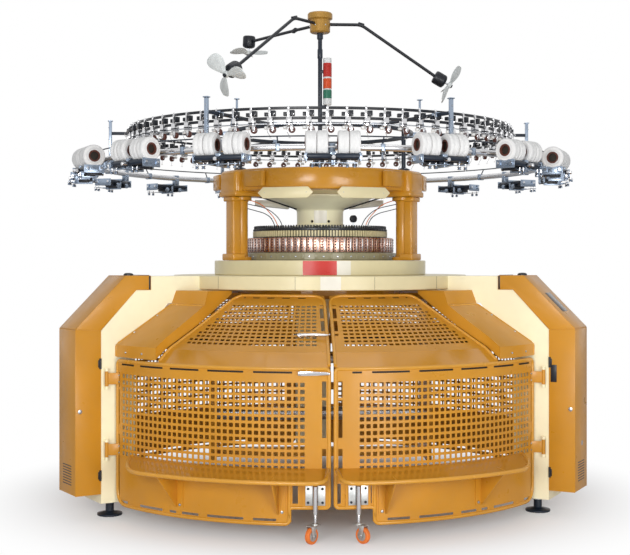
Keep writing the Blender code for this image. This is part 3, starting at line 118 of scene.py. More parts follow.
def box(low, high, bevel=0.0015, segments=2):
    size = [b - a for a, b in zip(low, high)]
    body = bmesh.new()
    bmesh.ops.create_cube(body, size=1.0)
    for vertex in body.verts:
        vertex.co = [a + (c + 0.5) * s for a, c, s in zip(low, vertex.co, size)]
    return eased(body, min(bevel, 0.35 * min(size)), segments)


def block(half, near, far, low, high, bevel=0.0015, segments=2):
    """A box that reaches half to either side, from near to far along Y and from low to high."""
    return box((-half, near, low), (half, far, high), bevel, segments)


def prism(outline, low, high, bevel=0.001):
    """An outline in the XY plane raised from low to high."""
    body = bmesh.new()
    below = [body.verts.new((x, y, low)) for x, y in outline]
    above = [body.verts.new((x, y, high)) for x, y in outline]
    body.faces.new(below[::-1])
    body.faces.new(above)
    for index in range(len(outline)):
        after = (index + 1) % len(outline)
        body.faces.new((below[index], below[after], above[after], above[index]))
    return eased(body, bevel)


def radial_prism(outline, half, bevel=0.001, middle=0.0):
    """A (radius, height) outline as thick as twice half, in the pose of at(turn)."""
    points, faces = prism(outline, -half, half, bevel)
    return np.stack([middle - points[:, 2], -points[:, 0], points[:, 1]], 1), faces


def bands(levels, sides, closed=False):
    """Quads between rings of points, also from the last ring to the first where closed."""
    faces = []
    for level in range(levels if closed else levels - 1):
        here, there = level * sides, (level + 1) % levels * sides
        for step in range(sides):
            after = (step + 1) % sides
            faces.append((here + step, here + after, there + after, there + step))
    return faces


def caps(levels, sides):
    return [tuple(range(sides))[::-1], tuple(range((levels - 1) * sides, levels * sides))]


def lathe(profile, sides=24):
    """A solid of revolution about Z from (radius, height) points, bottom to top."""
    angles = np.arange(sides) * 2.0 * math.pi / sides
    rings = [np.stack([r * np.cos(angles), r * np.sin(angles), np.full(sides, z)], 1) for r, z in profile]
    return np.concatenate(rings), caps(len(profile), sides) + bands(len(profile), sides)


def rod(start, end, radius, sides=16, bevel=0.0):
    """A round bar between two points."""
    start, end = Vector(start), Vector(end)
    length = (end - start).length
    soft = min(bevel, radius * 0.6, length * 0.4)
    profile = [(radius, 0.0), (radius, length)]
    if soft:
        profile = [(radius - soft, 0.0), (radius, soft), (radius, length - soft), (radius - soft, length)]
    return moved(lathe(profile, sides), aimed(start, end - start))


def spool(profile, sides=24):
    """A solid of revolution that is the same above and below its middle; the profile is its lower half."""
    upper = [(radius, -height) for radius, height in profile[::-1] if height]
    return lathe(profile + upper, sides)


def outward(part):
    """The same part with every face turned to the outside."""
    points, faces = part
    body = bmesh.new()
    corners = [body.verts.new(point) for point in points]
    for face in faces:
        body.faces.new([corners[index] for index in face])
    return arrays(body)


def sweep(outline, steps):
    """A closed outline turned round the axis; its (radius, height) points run anticlockwise."""
    points = []
    for station in range(steps):
        points.extend(polar(radius, 360.0 * station / steps, height)[:] for radius, height in outline)
    count = len(outline)
    faces = []
    for station in range(steps):
        here, there = station * count, (station + 1) % steps * count
        for corner in range(count):
            after = (corner + 1) % count
            faces.append((here + corner, there + corner, there + after, here + after))
    return np.array(points), faces


def rounded_box_line(inner, outer, low, high, soft=0.004):
    """Outline of a ring's cross-section with softened corners, for sweep."""
    return [(inner + soft, low), (outer - soft, low), (outer, low + soft), (outer, high - soft),
            (outer - soft, high), (inner + soft, high), (inner, high - soft), (inner, low + soft)]


def tube(path, normals, radius, sides=10, closed=False):
    """A round bar along a path; normals, where given, keep its sides from twisting."""
    path = np.asarray([tuple(point) for point in path], float)
    count = len(path)
    before = np.roll(path, 1, 0)
    after = np.roll(path, -1, 0)
    if not closed:
        before[0] = path[0] - (path[1] - path[0])
        after[-1] = path[-1] + (path[-1] - path[-2])
    into = path - before
    out = after - path
    into /= np.linalg.norm(into, axis=1)[:, None]
    out /= np.linalg.norm(out, axis=1)[:, None]
    along = into + out
    along /= np.linalg.norm(along, axis=1)[:, None]
    angles = np.arange(sides) * 2.0 * math.pi / sides
    points = []
    side = np.array(Vector(along[0]).orthogonal())
    for index in range(count):
        if normals is not None:
            side = np.asarray(normals[index], float)
        side = side - along[index] * side.dot(along[index])
        side /= np.linalg.norm(side)
        other = np.cross(along[index], side)
        points.append(path[index] + radius * (np.outer(np.cos(angles), side)
                                              + np.outer(np.sin(angles), other)))
    ends = [] if closed else caps(count, sides)
    return np.concatenate(points), bands(count, sides, closed) + ends


def rounded(corners, radii, closed=False, steps=5):
    """A run of points with each corner eased over its radius."""
    corners = [np.array(corner, float) for corner in corners]
    count = len(corners)
    result = []
    for index, (corner, radius) in enumerate(zip(corners, radii)):
        if radius <= 0.0 or (not closed and index in (0, count - 1)):
            result.append(corner)
            continue
        back = corners[index - 1] - corner
        ahead = corners[(index + 1) % count] - corner
        first = corner + back / np.linalg.norm(back) * radius
        last = corner + ahead / np.linalg.norm(ahead) * radius
        for step in range(steps + 1):
            share = step / steps
            result.append((1 - share) ** 2 * first + 2 * share * (1 - share) * corner + share ** 2 * last)
    return result


def filled_in(points, step, closed=False):
    """The same run with more points, so that no gap is over step."""
    ends = points[1:] + ([points[0]] if closed else [])
    result = []
    for here, there in zip(points, ends):
        parts = max(1, math.ceil(np.linalg.norm(there - here) / step))
        result.extend(here + (there - here) * index / parts for index in range(parts))
    if not closed:
        result.append(points[-1])
    return result


RIM = [(0, 0), (0.5, 0), (1, 0), (1, 0.5), (1, 1), (0.5, 1), (0, 1), (0, 0.5)]
ROUND = 0.95
HOLE = [(-ROUND, -ROUND), (0, -1), (ROUND, -ROUND), (1, 0), (ROUND, ROUND), (0, 1), (-ROUND, ROUND),
        (-1, 0)]
NONE, SOLID, HOLED = 0, 1, 2


def solid(column, row):
    return SOLID


def panel(place, us, vs, kind, low, high, hole=(0.34, 0.31)):
    """A thin sheet over a grid of cells that are open, solid or pierced by a rounded hole."""
    index, params, faces = {}, [], []
    columns, rows = len(us) - 1, len(vs) - 1
    kinds = [[kind(i, j) for j in range(rows)] for i in range(columns)]

    def corner(u, v, w):
        key = (round(u, 6), round(v, 6), w)
        if key not in index:
            index[key] = len(params)
            params.append(key)
        return index[key]

    for i in range(columns):
        for j in range(rows):
            if kinds[i][j] == NONE:
                continue
            u, v = us[i], vs[j]
            du, dv = us[i + 1] - u, vs[j + 1] - v
            rim = [(u + du * a, v + dv * b) for a, b in RIM]
            front = [corner(a, b, high) for a, b in rim]
            back = [corner(a, b, low) for a, b in rim]
            if kinds[i][j] == HOLED:
                cut = [(u + du * (0.5 + a * hole[0]), v + dv * (0.5 + b * hole[1])) for a, b in HOLE]
                inner = [corner(a, b, high) for a, b in cut]
                far = [corner(a, b, low) for a, b in cut]
                for s in range(8):
                    t = (s + 1) % 8
                    faces.append((front[s], front[t], inner[t], inner[s]))
                    faces.append((back[t], back[s], far[s], far[t]))
                    faces.append((inner[s], inner[t], far[t], far[s]))
            else:
                faces.append(tuple(front))
                faces.append(tuple(back[::-1]))
            for side, (di, dj) in enumerate(((0, -1), (1, 0), (0, 1), (-1, 0))):
                ni, nj = i + di, j + dj
                if 0 <= ni < columns and 0 <= nj < rows and kinds[ni][nj]:
                    continue
                for s in (2 * side, 2 * side + 1):
                    t = (s + 1) % 8
                    faces.append((front[s], back[s], back[t], front[t]))
    values = np.array(params)
    return place(values[:, 0], values[:, 1], values[:, 2]), faces


def lengths_along(line):
    return np.concatenate([[0.0], np.cumsum(np.hypot(*np.diff(line, axis=0).T))])


def curved(line, turn_at=None):
    """Maps (column, distance along the line, offset) to space; the line lists (radius, height)."""
    line = np.array(line, float)
    along = lengths_along(line)

    def spot(v):
        return np.interp(v, along, line[:, 0]), np.interp(v, along, line[:, 1])

    def place(u, v, w):
        radius, height = spot(v)
        above, below = spot(v + 0.0002), spot(v - 0.0002)
        run, rise = above[0] - below[0], above[1] - below[1]
        size = np.maximum(np.hypot(run, rise), 1e-9)
        out = radius + rise / size * w
        angle = np.radians(turn_at(u, radius, v) if turn_at else u)
        return np.stack([out * np.sin(angle), -out * np.cos(angle), height - run / size * w], 1)

    return place


def steps_between(marks, step):
    """Grid lines through all the marks with no cell wider than step."""
    marks = sorted(set(round(mark, 6) for mark in marks))
    result = [marks[0]]
    for a, b in zip(marks, marks[1:]):
        parts = max(1, math.ceil((b - a) / step - 1e-6))
        result.extend(a + (b - a) * k / parts for k in range(1, parts + 1))
    return result


class Piece:
    """Parts gathered for one object, each face marked with the number of its finish."""

    def __init__(self):
        self.points, self.faces, self.marks, self.count = [], [], [], 0

    def add(self, part, place=None, mark=0):
        points, faces = part if place is None else moved(part, place)
        start = self.count
        self.points.append(points)
        self.faces.extend(tuple(index + start for index in face) for face in faces)
        self.marks.extend([mark] * len(faces))
        self.count += len(points)
        return self

    def join(self, other, place):
        """Adds another piece with its marks."""
        points, faces = moved((np.concatenate(other.points), other.faces), place)
        start = self.count
        self.points.append(points)
        self.faces.extend(tuple(index + start for index in face) for face in faces)
        self.marks.extend(other.marks)
        self.count += len(points)

    def turned(self, place):
        self.points = [moved((points, []), place)[0] for points in self.points]
        return self


def make(name, piece, finishes, body, stands_for=(), mirror=False, sharp=36.0, place=None):
    """One object that rides on its body and stands for the named CAD nodes."""
    points = np.concatenate(piece.points)
    faces = piece.faces
    if mirror:
        points = points * (-1.0, 1.0, 1.0)
        faces = [face[::-1] for face in faces]
    mesh = bpy.data.meshes.new(name)
    mesh.from_pydata(points.tolist(), [], faces)
    mesh.polygons.foreach_set("material_index", piece.marks)
    for finish in finishes:
        mesh.materials.append(finish)
    mesh.shade_smooth()
    mesh.set_sharp_from_angle(angle=math.radians(sharp))
    item = bpy.data.objects.new(name, mesh)
    bpy.context.scene.collection.objects.link(item)
    if place is not None:
        item.matrix_world = place
    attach(item, body)
    if stands_for:
        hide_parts(*stands_for)
    return item


# Finishes

def srgb(red, green, blue):
    """A display colour from 0 to 255 as linear light."""
    return tuple(((c / 255.0 + 0.055) / 1.055) ** 2.4 if c > 10 else c / 3294.6
                 for c in (red, green, blue))


def lighter(colour, share):
    """The colour turned up in its own hue."""
    return tuple(min(1.0, channel * (1.0 + 1.6 * share)) for channel in colour)


def mixed(colour, share, other=(0.0, 0.0, 0.0)):
    """The colour with a share of another one, or of black."""
    return tuple(a * (1.0 - share) + b * share for a, b in zip(colour, other))


def add_node(tree, kind, operation=None, **values):
    """A new node with its inputs set; a space in an input's name is written as an underscore."""
    node = tree.nodes.new("ShaderNode" + kind)
    if operation:
        node.operation = operation
    for name, value in values.items():
        node.inputs[name.replace("_", " ")].default_value = value
    return node


class Graph:
    """A material's node tree with short calls for the nodes used here."""

    def __init__(self, name, metallic, coat=0.0):
        self.material = bpy.data.materials.new(name)
        self.material.use_nodes = True
        self.tree = self.material.node_tree
        self.shader = self.tree.nodes["Principled BSDF"]
        self.shader.inputs["Metallic"].default_value = metallic
        self.shader.inputs["Coat Weight"].default_value = coat
        self.shader.inputs["Coat Roughness"].default_value = 0.12
        self.shader.inputs["Specular IOR Level"].default_value = 0.35
        self.place = add_node(self.tree, "TexCoord").outputs["Object"]

    def link(self, output, node, name):
        self.tree.links.new(output, node.inputs[name])

    def stretched(self, scale):
        node = add_node(self.tree, "Mapping", Scale=scale)
        self.link(self.place, node, "Vector")
        return node.outputs["Vector"]

    def noise(self, scale, detail=3.0, source=None):
        node = add_node(self.tree, "TexNoise", Scale=scale, Detail=detail)
        self.link(source or self.place, node, "Vector")
        return node.outputs["Fac"]

    def wave(self, scale, direction, distortion):
        node = add_node(self.tree, "TexWave", Scale=scale, Distortion=distortion)
        node.bands_direction = direction
        self.link(self.place, node, "Vector")
        return node.outputs["Fac"]

    def span(self, value, low, high, start=0.3, end=0.7):
        node = add_node(self.tree, "MapRange", From_Min=start, From_Max=end, To_Min=low, To_Max=high)
        self.link(value, node, "Value")
        return node.outputs["Result"]

    def blend(self, value, first, second):
        node = add_node(self.tree, "Mix")
        node.data_type = "RGBA"
        for socket, colour in ((node.inputs[6], first), (node.inputs[7], second)):
            if isinstance(colour, tuple):
                socket.default_value = (*colour, 1.0)
            else:
                self.tree.links.new(colour, socket)
        self.tree.links.new(value, node.inputs[0])
        return node.outputs[2]

    def bump(self, value, strength, distance):
        node = add_node(self.tree, "Bump", Strength=strength, Distance=distance)
        self.link(value, node, "Height")
        self.link(node.outputs["Normal"], self.shader, "Normal")


def painted(name, colour, roughness=0.38, tone=0.07, broad=2.5, grain=420.0, relief=0.12, metallic=0.0,
            coat=0.06, dust=0.1):
    """Enamel over metal: a broad change of tone, fine orange peel and thin dust."""
    graph = Graph(name, metallic, coat)
    base = graph.blend(graph.span(graph.noise(broad), 0.0, 1.0), mixed(colour, tone),
                       lighter(colour, tone))
    dusty = graph.span(graph.noise(broad * 9.0, 6.0), 0.0, dust, 0.45, 0.85)
    base = graph.blend(dusty, base, mixed(colour, 0.45, (0.3, 0.26, 0.2)))
    graph.link(base, graph.shader, "Base Color")
    graph.link(graph.span(graph.noise(broad * 5.0, 4.0), roughness * 0.85, roughness * 1.2),
               graph.shader, "Roughness")
    graph.bump(graph.noise(grain, 2.0), relief, 0.0006)
    return graph.material


def metal(name, colour, roughness=0.25, stretch=(1.0, 1.0, 14.0), grain=120.0, relief=0.1, tone=0.12):
    """Bright metal with fine drawn lines and a change of gloss."""
    graph = Graph(name, 1.0)
    lines = graph.noise(grain, 3.0, graph.stretched(stretch))
    base = graph.blend(graph.span(lines, 0.0, 1.0), mixed(colour, tone),
                       mixed(colour, tone * 0.6, (1, 1, 1)))
    graph.link(base, graph.shader, "Base Color")
    graph.link(graph.span(graph.noise(25.0, 4.0), roughness * 0.7, roughness * 1.35), graph.shader,
               "Roughness")
    graph.bump(lines, relief, 0.0003)
    return graph.material


def moulded(name, colour, roughness=0.45, relief=0.15, grain=900.0, tone=0.06):
    """Plastic or rubber with a fine moulded grain."""
    graph = Graph(name, 0.0)
    base = graph.blend(graph.span(graph.noise(30.0, 4.0), 0.0, 1.0), mixed(colour, tone),
                       lighter(colour, tone))
    graph.link(base, graph.shader, "Base Color")
    graph.link(graph.span(graph.noise(60.0), roughness * 0.85, roughness * 1.15), graph.shader,
               "Roughness")
    graph.bump(graph.noise(grain, 2.0), relief, 0.0003)
    return graph.material


def wound_yarn(name):
    """Yarn laid in fine turns round the package's own X axis, crossed at a small slope."""
    graph = Graph(name, 0.0)
    turns = graph.wave(260.0, "X", 1.2)
    crossed = graph.wave(90.0, "DIAGONAL", 2.0)
    tone = graph.blend(graph.span(turns, 0.0, 0.35, 0.0, 1.0), srgb(238, 237, 235), srgb(186, 186, 188))
    tone = graph.blend(graph.span(crossed, 0.0, 0.1, 0.0, 1.0), tone, srgb(196, 196, 200))
    graph.link(tone, graph.shader, "Base Color")
    graph.shader.inputs["Roughness"].default_value = 0.82
    graph.shader.inputs["Sheen Weight"].default_value = 0.25
    graph.bump(turns, 0.35, 0.0006)
    return graph.material


OCHRE = painted("ochre_enamel", srgb(200, 139, 38), 0.32, 0.07)
OCHRE_EDGE = painted("ochre_tube_enamel", srgb(208, 148, 48), 0.24, 0.05, relief=0.08, coat=0.2)
OCHRE_GLOSS = painted("glossy_ochre_enamel", srgb(200, 138, 38), 0.13, 0.06, relief=0.05, coat=0.35)
CASTING = painted("ochre_cast_enamel", srgb(196, 136, 32), 0.24, 0.09, grain=160.0, relief=0.18, coat=0.2)
CREAM = painted("cream_enamel", srgb(224, 212, 170), 0.36, 0.05)
# A lighter copy of the cream paint, for the legs and the column: painted light on parts that stand in
# shade.
CREAM_LIT = painted("cream_enamel_painted_lighter", srgb(252, 242, 206), 0.34, 0.05)
BLACK = painted("black_enamel", srgb(20, 24, 32), 0.36, 0.04, dust=0.06)
DARK = painted("dark_blue_enamel", srgb(26, 36, 50), 0.34, 0.06, dust=0.08)
# Dark rubber for real seams and bolts, and also the dark fill behind slots, between cam blocks and inside
# package cores, which is painted shade.
SEAM_AND_SHADE = moulded("dark_seam_and_painted_shade", srgb(38, 30, 22), 0.6)
KHAKI = painted("khaki_enamel", srgb(212, 200, 156), 0.42, 0.08)
OLIVE = painted("olive_grey_enamel", srgb(150, 144, 114), 0.32, 0.07)
BRASS = painted("brass_enamel", srgb(168, 126, 52), 0.34, 0.1, metallic=0.15)
CHROME = metal("chrome_plate", srgb(214, 214, 216), 0.16)
STEEL = metal("ground_steel", srgb(186, 190, 196), 0.28)
BLUE_STEEL = metal("blue_steel", srgb(150, 164, 182), 0.28)
PINK = metal("pink_ground_steel", srgb(182, 140, 120), 0.28, (1.0, 1.0, 1.0), 60.0)
ZINC = metal("zinc_plating", srgb(206, 208, 206), 0.38, (1.0, 1.0, 3.0), 70.0)
DOTS = moulded("dark_cam_screw", srgb(58, 34, 52), 0.35)
ORANGE = moulded("orange_tread", srgb(230, 124, 56), 0.42)
WHEEL_BROWN = moulded("brown_feed_wheel", srgb(92, 54, 46), 0.35)
WHITE = moulded("white_ceramic", srgb(232, 232, 230), 0.3)
CORE = moulded("brown_card_core", srgb(86, 46, 36), 0.65, 0.3, 500.0, 0.12)
YARN = wound_yarn("wound_white_yarn")
BLADE = moulded("grey_blade", srgb(205, 209, 208), 0.35)
RED = moulded("red_lens", srgb(186, 44, 34), 0.22)
ORANGE_LENS = moulded("orange_lens", srgb(214, 84, 40), 0.22)
GREEN = moulded("green_lens", srgb(52, 120, 96), 0.22)
PALE = moulded("pale_lens_ring", srgb(220, 222, 222), 0.3)
PLATE_RED = painted("plain_red_plate", srgb(206, 44, 34), 0.3, 0.04)
PLATE_PALE = painted("plain_pale_plate", srgb(232, 228, 214), 0.32, 0.04)
GLOSS = moulded("dark_gloss_panel", srgb(58, 46, 38), 0.12, 0.03)
LEAF_LOOKS = [OCHRE, OCHRE_EDGE, STEEL, SEAM_AND_SHADE, OCHRE_GLOSS]
HOOD_LOOKS = [OCHRE, OCHRE_EDGE, OCHRE_GLOSS, SEAM_AND_SHADE]


# Curved leaves between the legs

SHEET = (0.0015, 0.0045)
# Offsets of the dark sheets behind slots, which paint the shade seen through them.
SHADE_SHEET = (-0.003, -0.0015)
SHEET_CELL = 1.4
PITCH = 1.376
ROWS = [0.38875 + 0.0385 * k for k in range(14)]
LEAF_TOP, LEAF_BOTTOM = 0.958, 0.098
TUBE = 0.0115


def arc(length, radius=GATE_RADIUS):
    return math.degrees(length / radius)


def on_leaf(point):
    """A (length along the curve, height) point of the leaf in space."""
    return polar(GATE_RADIUS, arc(point[0]), point[1])


def within(turn, ranges):
    return any(a < turn < b for a, b in ranges)


LEAF_WALL = curved([(GATE_RADIUS, 0.0), (GATE_RADIUS, 1.0)])


def leaf_sheet(piece, start, end, first, count, step_turn, top_slots, low_slots, round_end):
    """Pierced screen, its borders and the skirt below, between two edge tubes."""
    fields = [first + PITCH * k for k in range(count + 1)]

    def pulled_in(u, radius, v):
        """Draws the sheet in at the rounded lower corner."""
        if not round_end:
            return u
        reach = 0.085
        drop = np.clip((LEAF_BOTTOM + reach - v) / reach, 0.0, 1.0)
        limit = end - arc(reach) * (1.0 - np.sqrt(1.0 - drop ** 2))
        return np.minimum(u, limit)

    place = curved([(GATE_RADIUS, 0.0), (GATE_RADIUS, 1.2)], pulled_in)
    piece.add(panel(place, fields, ROWS, lambda i, j: HOLED, *SHEET))
    us = steps_between([start, end, *(edge for pair in top_slots for edge in pair)], SHEET_CELL)
    vs = [ROWS[-1], 0.9325, 0.9435, LEAF_TOP - 0.004]

    def border(i, j, us=us):
        return NONE if j == 1 and within((us[i] + us[i + 1]) / 2, top_slots) else SOLID

    piece.add(panel(place, us, vs, border, *SHEET))
    # Dark sheet behind the slots of the top border: painted shade.
    piece.add(panel(place, steps_between([start + 0.6, end - 0.6], SHEET_CELL), [0.927, 0.949], solid,
                    *SHADE_SHEET), mark=3)
    for near, far, mirrored in ((start, fields[0], False), (fields[-1], end, True)):
        width = far - near
        cuts = [near, near + width * 0.12, near + width * 0.3, far]
        if mirrored:
            cuts = [near, far - width * 0.52, far - width * 0.16, far]
        us = steps_between(cuts, SHEET_CELL)
        vs = [ROWS[0], 0.4, 0.516, 0.577, 0.785, 0.8, ROWS[-1]]

        def kind(i, j, us=us, cuts=cuts):
            turn = (us[i] + us[i + 1]) / 2
            return NONE if cuts[1] < turn < cuts[2] and j in (1, 3, 5) else SOLID

        piece.add(panel(place, us, vs, kind, *SHEET))
    marks = [start, end, *(edge for pair in low_slots for edge in pair)]
    if round_end:
        marks.extend((end - 4.4, end - 1.6, end - 1.1, end - 0.45))
    if step_turn:
        marks.append(step_turn)
        marks.extend(arc(x) for x in (0.025, 0.047, 0.19, 0.22))
    us = steps_between(marks, SHEET_CELL)
    vs = [LEAF_BOTTOM + 0.006, 0.1125, 0.1265, 0.15, 0.193, 0.213, 0.323, ROWS[0]]

    def skirt(i, j):
        turn = (us[i] + us[i + 1]) / 2
        if step_turn and turn < step_turn:
            if j < 4:
                return NONE
            offset = math.radians(turn) * GATE_RADIUS
            return NONE if j == 5 and (0.025 < offset < 0.047 or 0.19 < offset < 0.22) else SOLID
        upright = end - 1.1 < turn < end - 0.45 and 3 <= j <= 6
        level = end - 4.4 < turn < end - 1.6 and j == 1
        if round_end and (upright or level):
            return NONE
        return NONE if j == 1 and within(turn, low_slots) else SOLID

    piece.add(panel(place, us, vs, skirt, *SHEET))


def shelf_drop(radius):
    return 0.042 * (radius - GATE_RADIUS) / 0.216


def shelf(piece, start, end, hinge_end, depth):
    """Sloped ledge with a rolled lip; its ends are rounded, and slanted at a gate's hinge."""
    def reach(turn):
        share = 1.0
        for gap, width, slanted in ((turn - start, 3.2, False),
                                    (end - turn, 10.0 if hinge_end else 3.2, hinge_end)):
            t = np.clip(gap / width, 0.0, 1.0)
            if slanted:
                edge = 0.1 + 0.86 * np.sin(t * math.pi / 2) ** 1.1 + 0.04 * t
            else:
                edge = (1.0 - (1.0 - t) ** 3.0) ** (1 / 3.0)
            share = share * edge
        return GATE_RADIUS + 0.008 + depth * share

    us = steps_between([start, start + 0.5, start + 1.2, start + 2.2, start + 4.5, end - 4.5, end - 2.2,
                        end - 1.0, end - 0.4, end], 1.2)
    edge = [reach(turn) for turn in us]

    def place(u, v, w):
        tip = np.interp(u, us, edge)
        radius = GATE_RADIUS + v * (tip - GATE_RADIUS)
        height = 0.411 - shelf_drop(radius) + w
        angle = np.radians(u)
        return np.stack([radius * np.sin(angle), -radius * np.cos(angle), height], 1)

    piece.add(panel(place, us, [0.0, 0.5, 1.0], solid, -0.0055, -0.0025), mark=4)
    root = GATE_RADIUS + 0.006
    path = [polar(root, us[0], 0.4)]
    for turn, radius in zip(us, edge):
        radius = max(radius, root + 0.004)
        path.append(polar(radius, turn, 0.405 - shelf_drop(radius)))
    path.append(polar(root, us[-1], 0.4))
    piece.add(tube(path, [(0.0, 0.0, 1.0)] * len(path), 0.0125, 12), mark=1)


def gussets(piece, turns, side, tip):
    """Upright plates under a shelf, each with a bolted strip on the leaf beside it."""
    outline = [(1.553, 0.152), (1.567, 0.152), *tip, (1.553, 0.402)]
    plate = radial_prism(outline, 0.0035, 0.0012)
    bolt = bolt_head(0.009)
    for turn in turns:
        piece.add(plate, at(turn))
        low, high = sorted((turn, turn + side * 1.6))
        piece.add(panel(LEAF_WALL, [low, (low + high) / 2, high], [0.15, 0.27, 0.395], solid, 0.004,
                        0.0095))
        for height in (0.165, 0.375):
            piece.add(bolt, facing(turn + side * 0.85, GATE_RADIUS + 0.0095, height), 2)


def bolt_head(radius, height=None):
    """Button head with a hexagon socket, standing on the XY plane."""
    height = height or radius * 0.7
    return lathe([(radius, 0.0), (radius, height * 0.45), (radius * 0.82, height * 0.85),
                  (radius * 0.5, height), (radius * 0.46, height), (radius * 0.42, height * 0.45)], 16)


def leaf_tube(start, end, step, radii):
    """Tube round a leaf as (length, height) corners eased by their radii."""
    corners = [(start, LEAF_TOP), (end, LEAF_TOP), (end, LEAF_BOTTOM)]
    if step:
        corners += [(step[0], LEAF_BOTTOM), step, (start, step[1])]
    else:
        corners += [(start, LEAF_BOTTOM)]
    path = filled_in(rounded(corners, radii, True), 0.03, True)
    points = [on_leaf(point) for point in path]
    normals = [polar(1.0, arc(point[0])) for point in path]
    return tube(points, normals, TUBE, 12, True)


TOP_SLOTS = [(4.1, 6.1), (8.2, 16.4), (18.5, 26.7), (28.8, 36.3), (38.3, 45.4), (47.5, 52.4)]
LOW_SLOTS = [(11.5, 16.4), (18.5, 26.7), (28.8, 33.0), (34.5, 36.3), (38.3, 45.4)]
HINGE_TURN = 54.67
HINGE_END = HINGE_TURN - arc(0.012)
FREE_START = arc(0.018)
GUSSET_TURNS = (11.1, 34.2)
STEP = (0.238, 0.19)  # length and height where the skirt ends and the caster's part begins


def gate_leaf(side):
    """Leaf of the right gate, mirrored for the left one; only the caster's place differs."""
    piece = Piece()
    piece.add(leaf_tube(0.018, math.radians(HINGE_END) * GATE_RADIUS, STEP,
                        (0.022, 0.03, 0.095, 0.03, 0.022, 0.022)), mark=1)
    leaf_sheet(piece, FREE_START, HINGE_END, 6.1 - PITCH / 2, 34, arc(STEP[0]), TOP_SLOTS, LOW_SLOTS, True)
    shelf(piece, 0.9, HINGE_TURN - 6.9, True, 0.208)
    gussets(piece, GUSSET_TURNS, -1.0, ((1.745, 0.352), (1.752, 0.372)))
    # post beside the step, caster pad and hinge straps
    upright = [on_leaf((STEP[0], 0.11 + 0.028 * k)) for k in range(11)]
    piece.add(tube(upright, [polar(1.0, arc(STEP[0]))] * 11, TUBE, 12), mark=1)
    stem = math.degrees(math.asin(abs(CASTER_OFFSETS[side]) / CASTER_RADIUS))
    piece.add(panel(LEAF_WALL, steps_between([stem - 2.6, stem + 2.6], 0.9), [0.196, 0.25, 0.305, 0.335],
                    solid, 0.004, 0.0118))
    # Two dark marks on the pad stand for its slots: painted shade.
    for slot in (-0.9, 0.9):
        piece.add(block(0.006, -0.002, 0.0, -0.012, 0.012, 0.002),
                  at(stem + slot, GATE_RADIUS + 0.0118, 0.321), 3)
    axis = polar(1.613, 60.0) - polar(0.152, 150.0)
    strap = polar(GATE_RADIUS, 53.6) - axis
    turn = math.degrees(math.atan2(strap.y, strap.x))
    for height in (0.425, 0.85):
        piece.add(spool([(0.009, -0.0448), (0.011, -0.043)], 20),
                  Matrix.Translation((axis.x, axis.y, height)))
        piece.add(box((0.004, -0.004, -0.034), (strap.length, 0.004, 0.034), 0.0015),
                  Matrix.Translation((axis.x, axis.y, height)) @ spin(turn, "Z"))
        for rise in (-0.02, 0.02):
            piece.add(bolt_head(0.006), facing(53.4, GATE_RADIUS + 0.0046, height + rise), 2)
    return piece


def guard_leaf():
    """Leaf of a fixed rear bay, drawn about turn 0."""
    piece = Piece()
    half = 60.0 - math.degrees(math.asin(LEG_CLEARANCE / GATE_RADIUS)) - arc(0.012)
    reach = math.radians(half) * GATE_RADIUS
    piece.add(leaf_tube(-reach, reach, None, (0.03, 0.03, 0.03, 0.03)), mark=1)
    slots = [(-50.0 + 10.2 * k, -50.0 + 10.2 * k + 8.1) for k in range(10)]
    leaf_sheet(piece, -half, half, -PITCH * 38, 76, None, slots, slots[1:-1], False)
    shelf(piece, -half + 3.0, half - 3.0, False, 0.148)
    for side in (-1.0, 1.0):
        gussets(piece, [-side * turn for turn in GUSSET_TURNS], side, ((1.685, 0.36), (1.692, 0.377)))
    return piece


HOOD_LINE = [HOOD_FOOT, HOOD_FOLD, HOOD_TOP]
HOOD_SHEET = (-0.001, 0.002)
# Offsets of the dark sheets behind the hood's slots, which are painted shade.
HOOD_SHADE_SHEET = (-0.006, -0.0045)
HOOD_RUN, HOOD_RISE = 0.53, 0.305
FOLD = math.hypot(0.093, 0.0735)
SLOPE = math.hypot(HOOD_RUN, HOOD_RISE)
SCREEN_START = FOLD + 0.058
HOOD_TUBE = 0.0105
HOOD_PITCH = 1.49


def degrees_at(length, radius):
    return np.degrees(length / radius)


def turned_over(part, sign):
    """The part with its faces turned over where the sign is negative."""
    return part if sign > 0 else (part[0], [face[::-1] for face in part[1]])


def rise_at(radius):
    """Share of the way from the fold to the top."""
    return np.clip((HOOD_FOLD[0] - radius) / HOOD_RUN, 0.0, 1.0)


def dashes(column, row):
    return NONE if column == 1 and row % 4 != 3 else SOLID


def windows(column, row):
    return NONE if column == 1 and row > 8 and row % 11 > 1 else SOLID


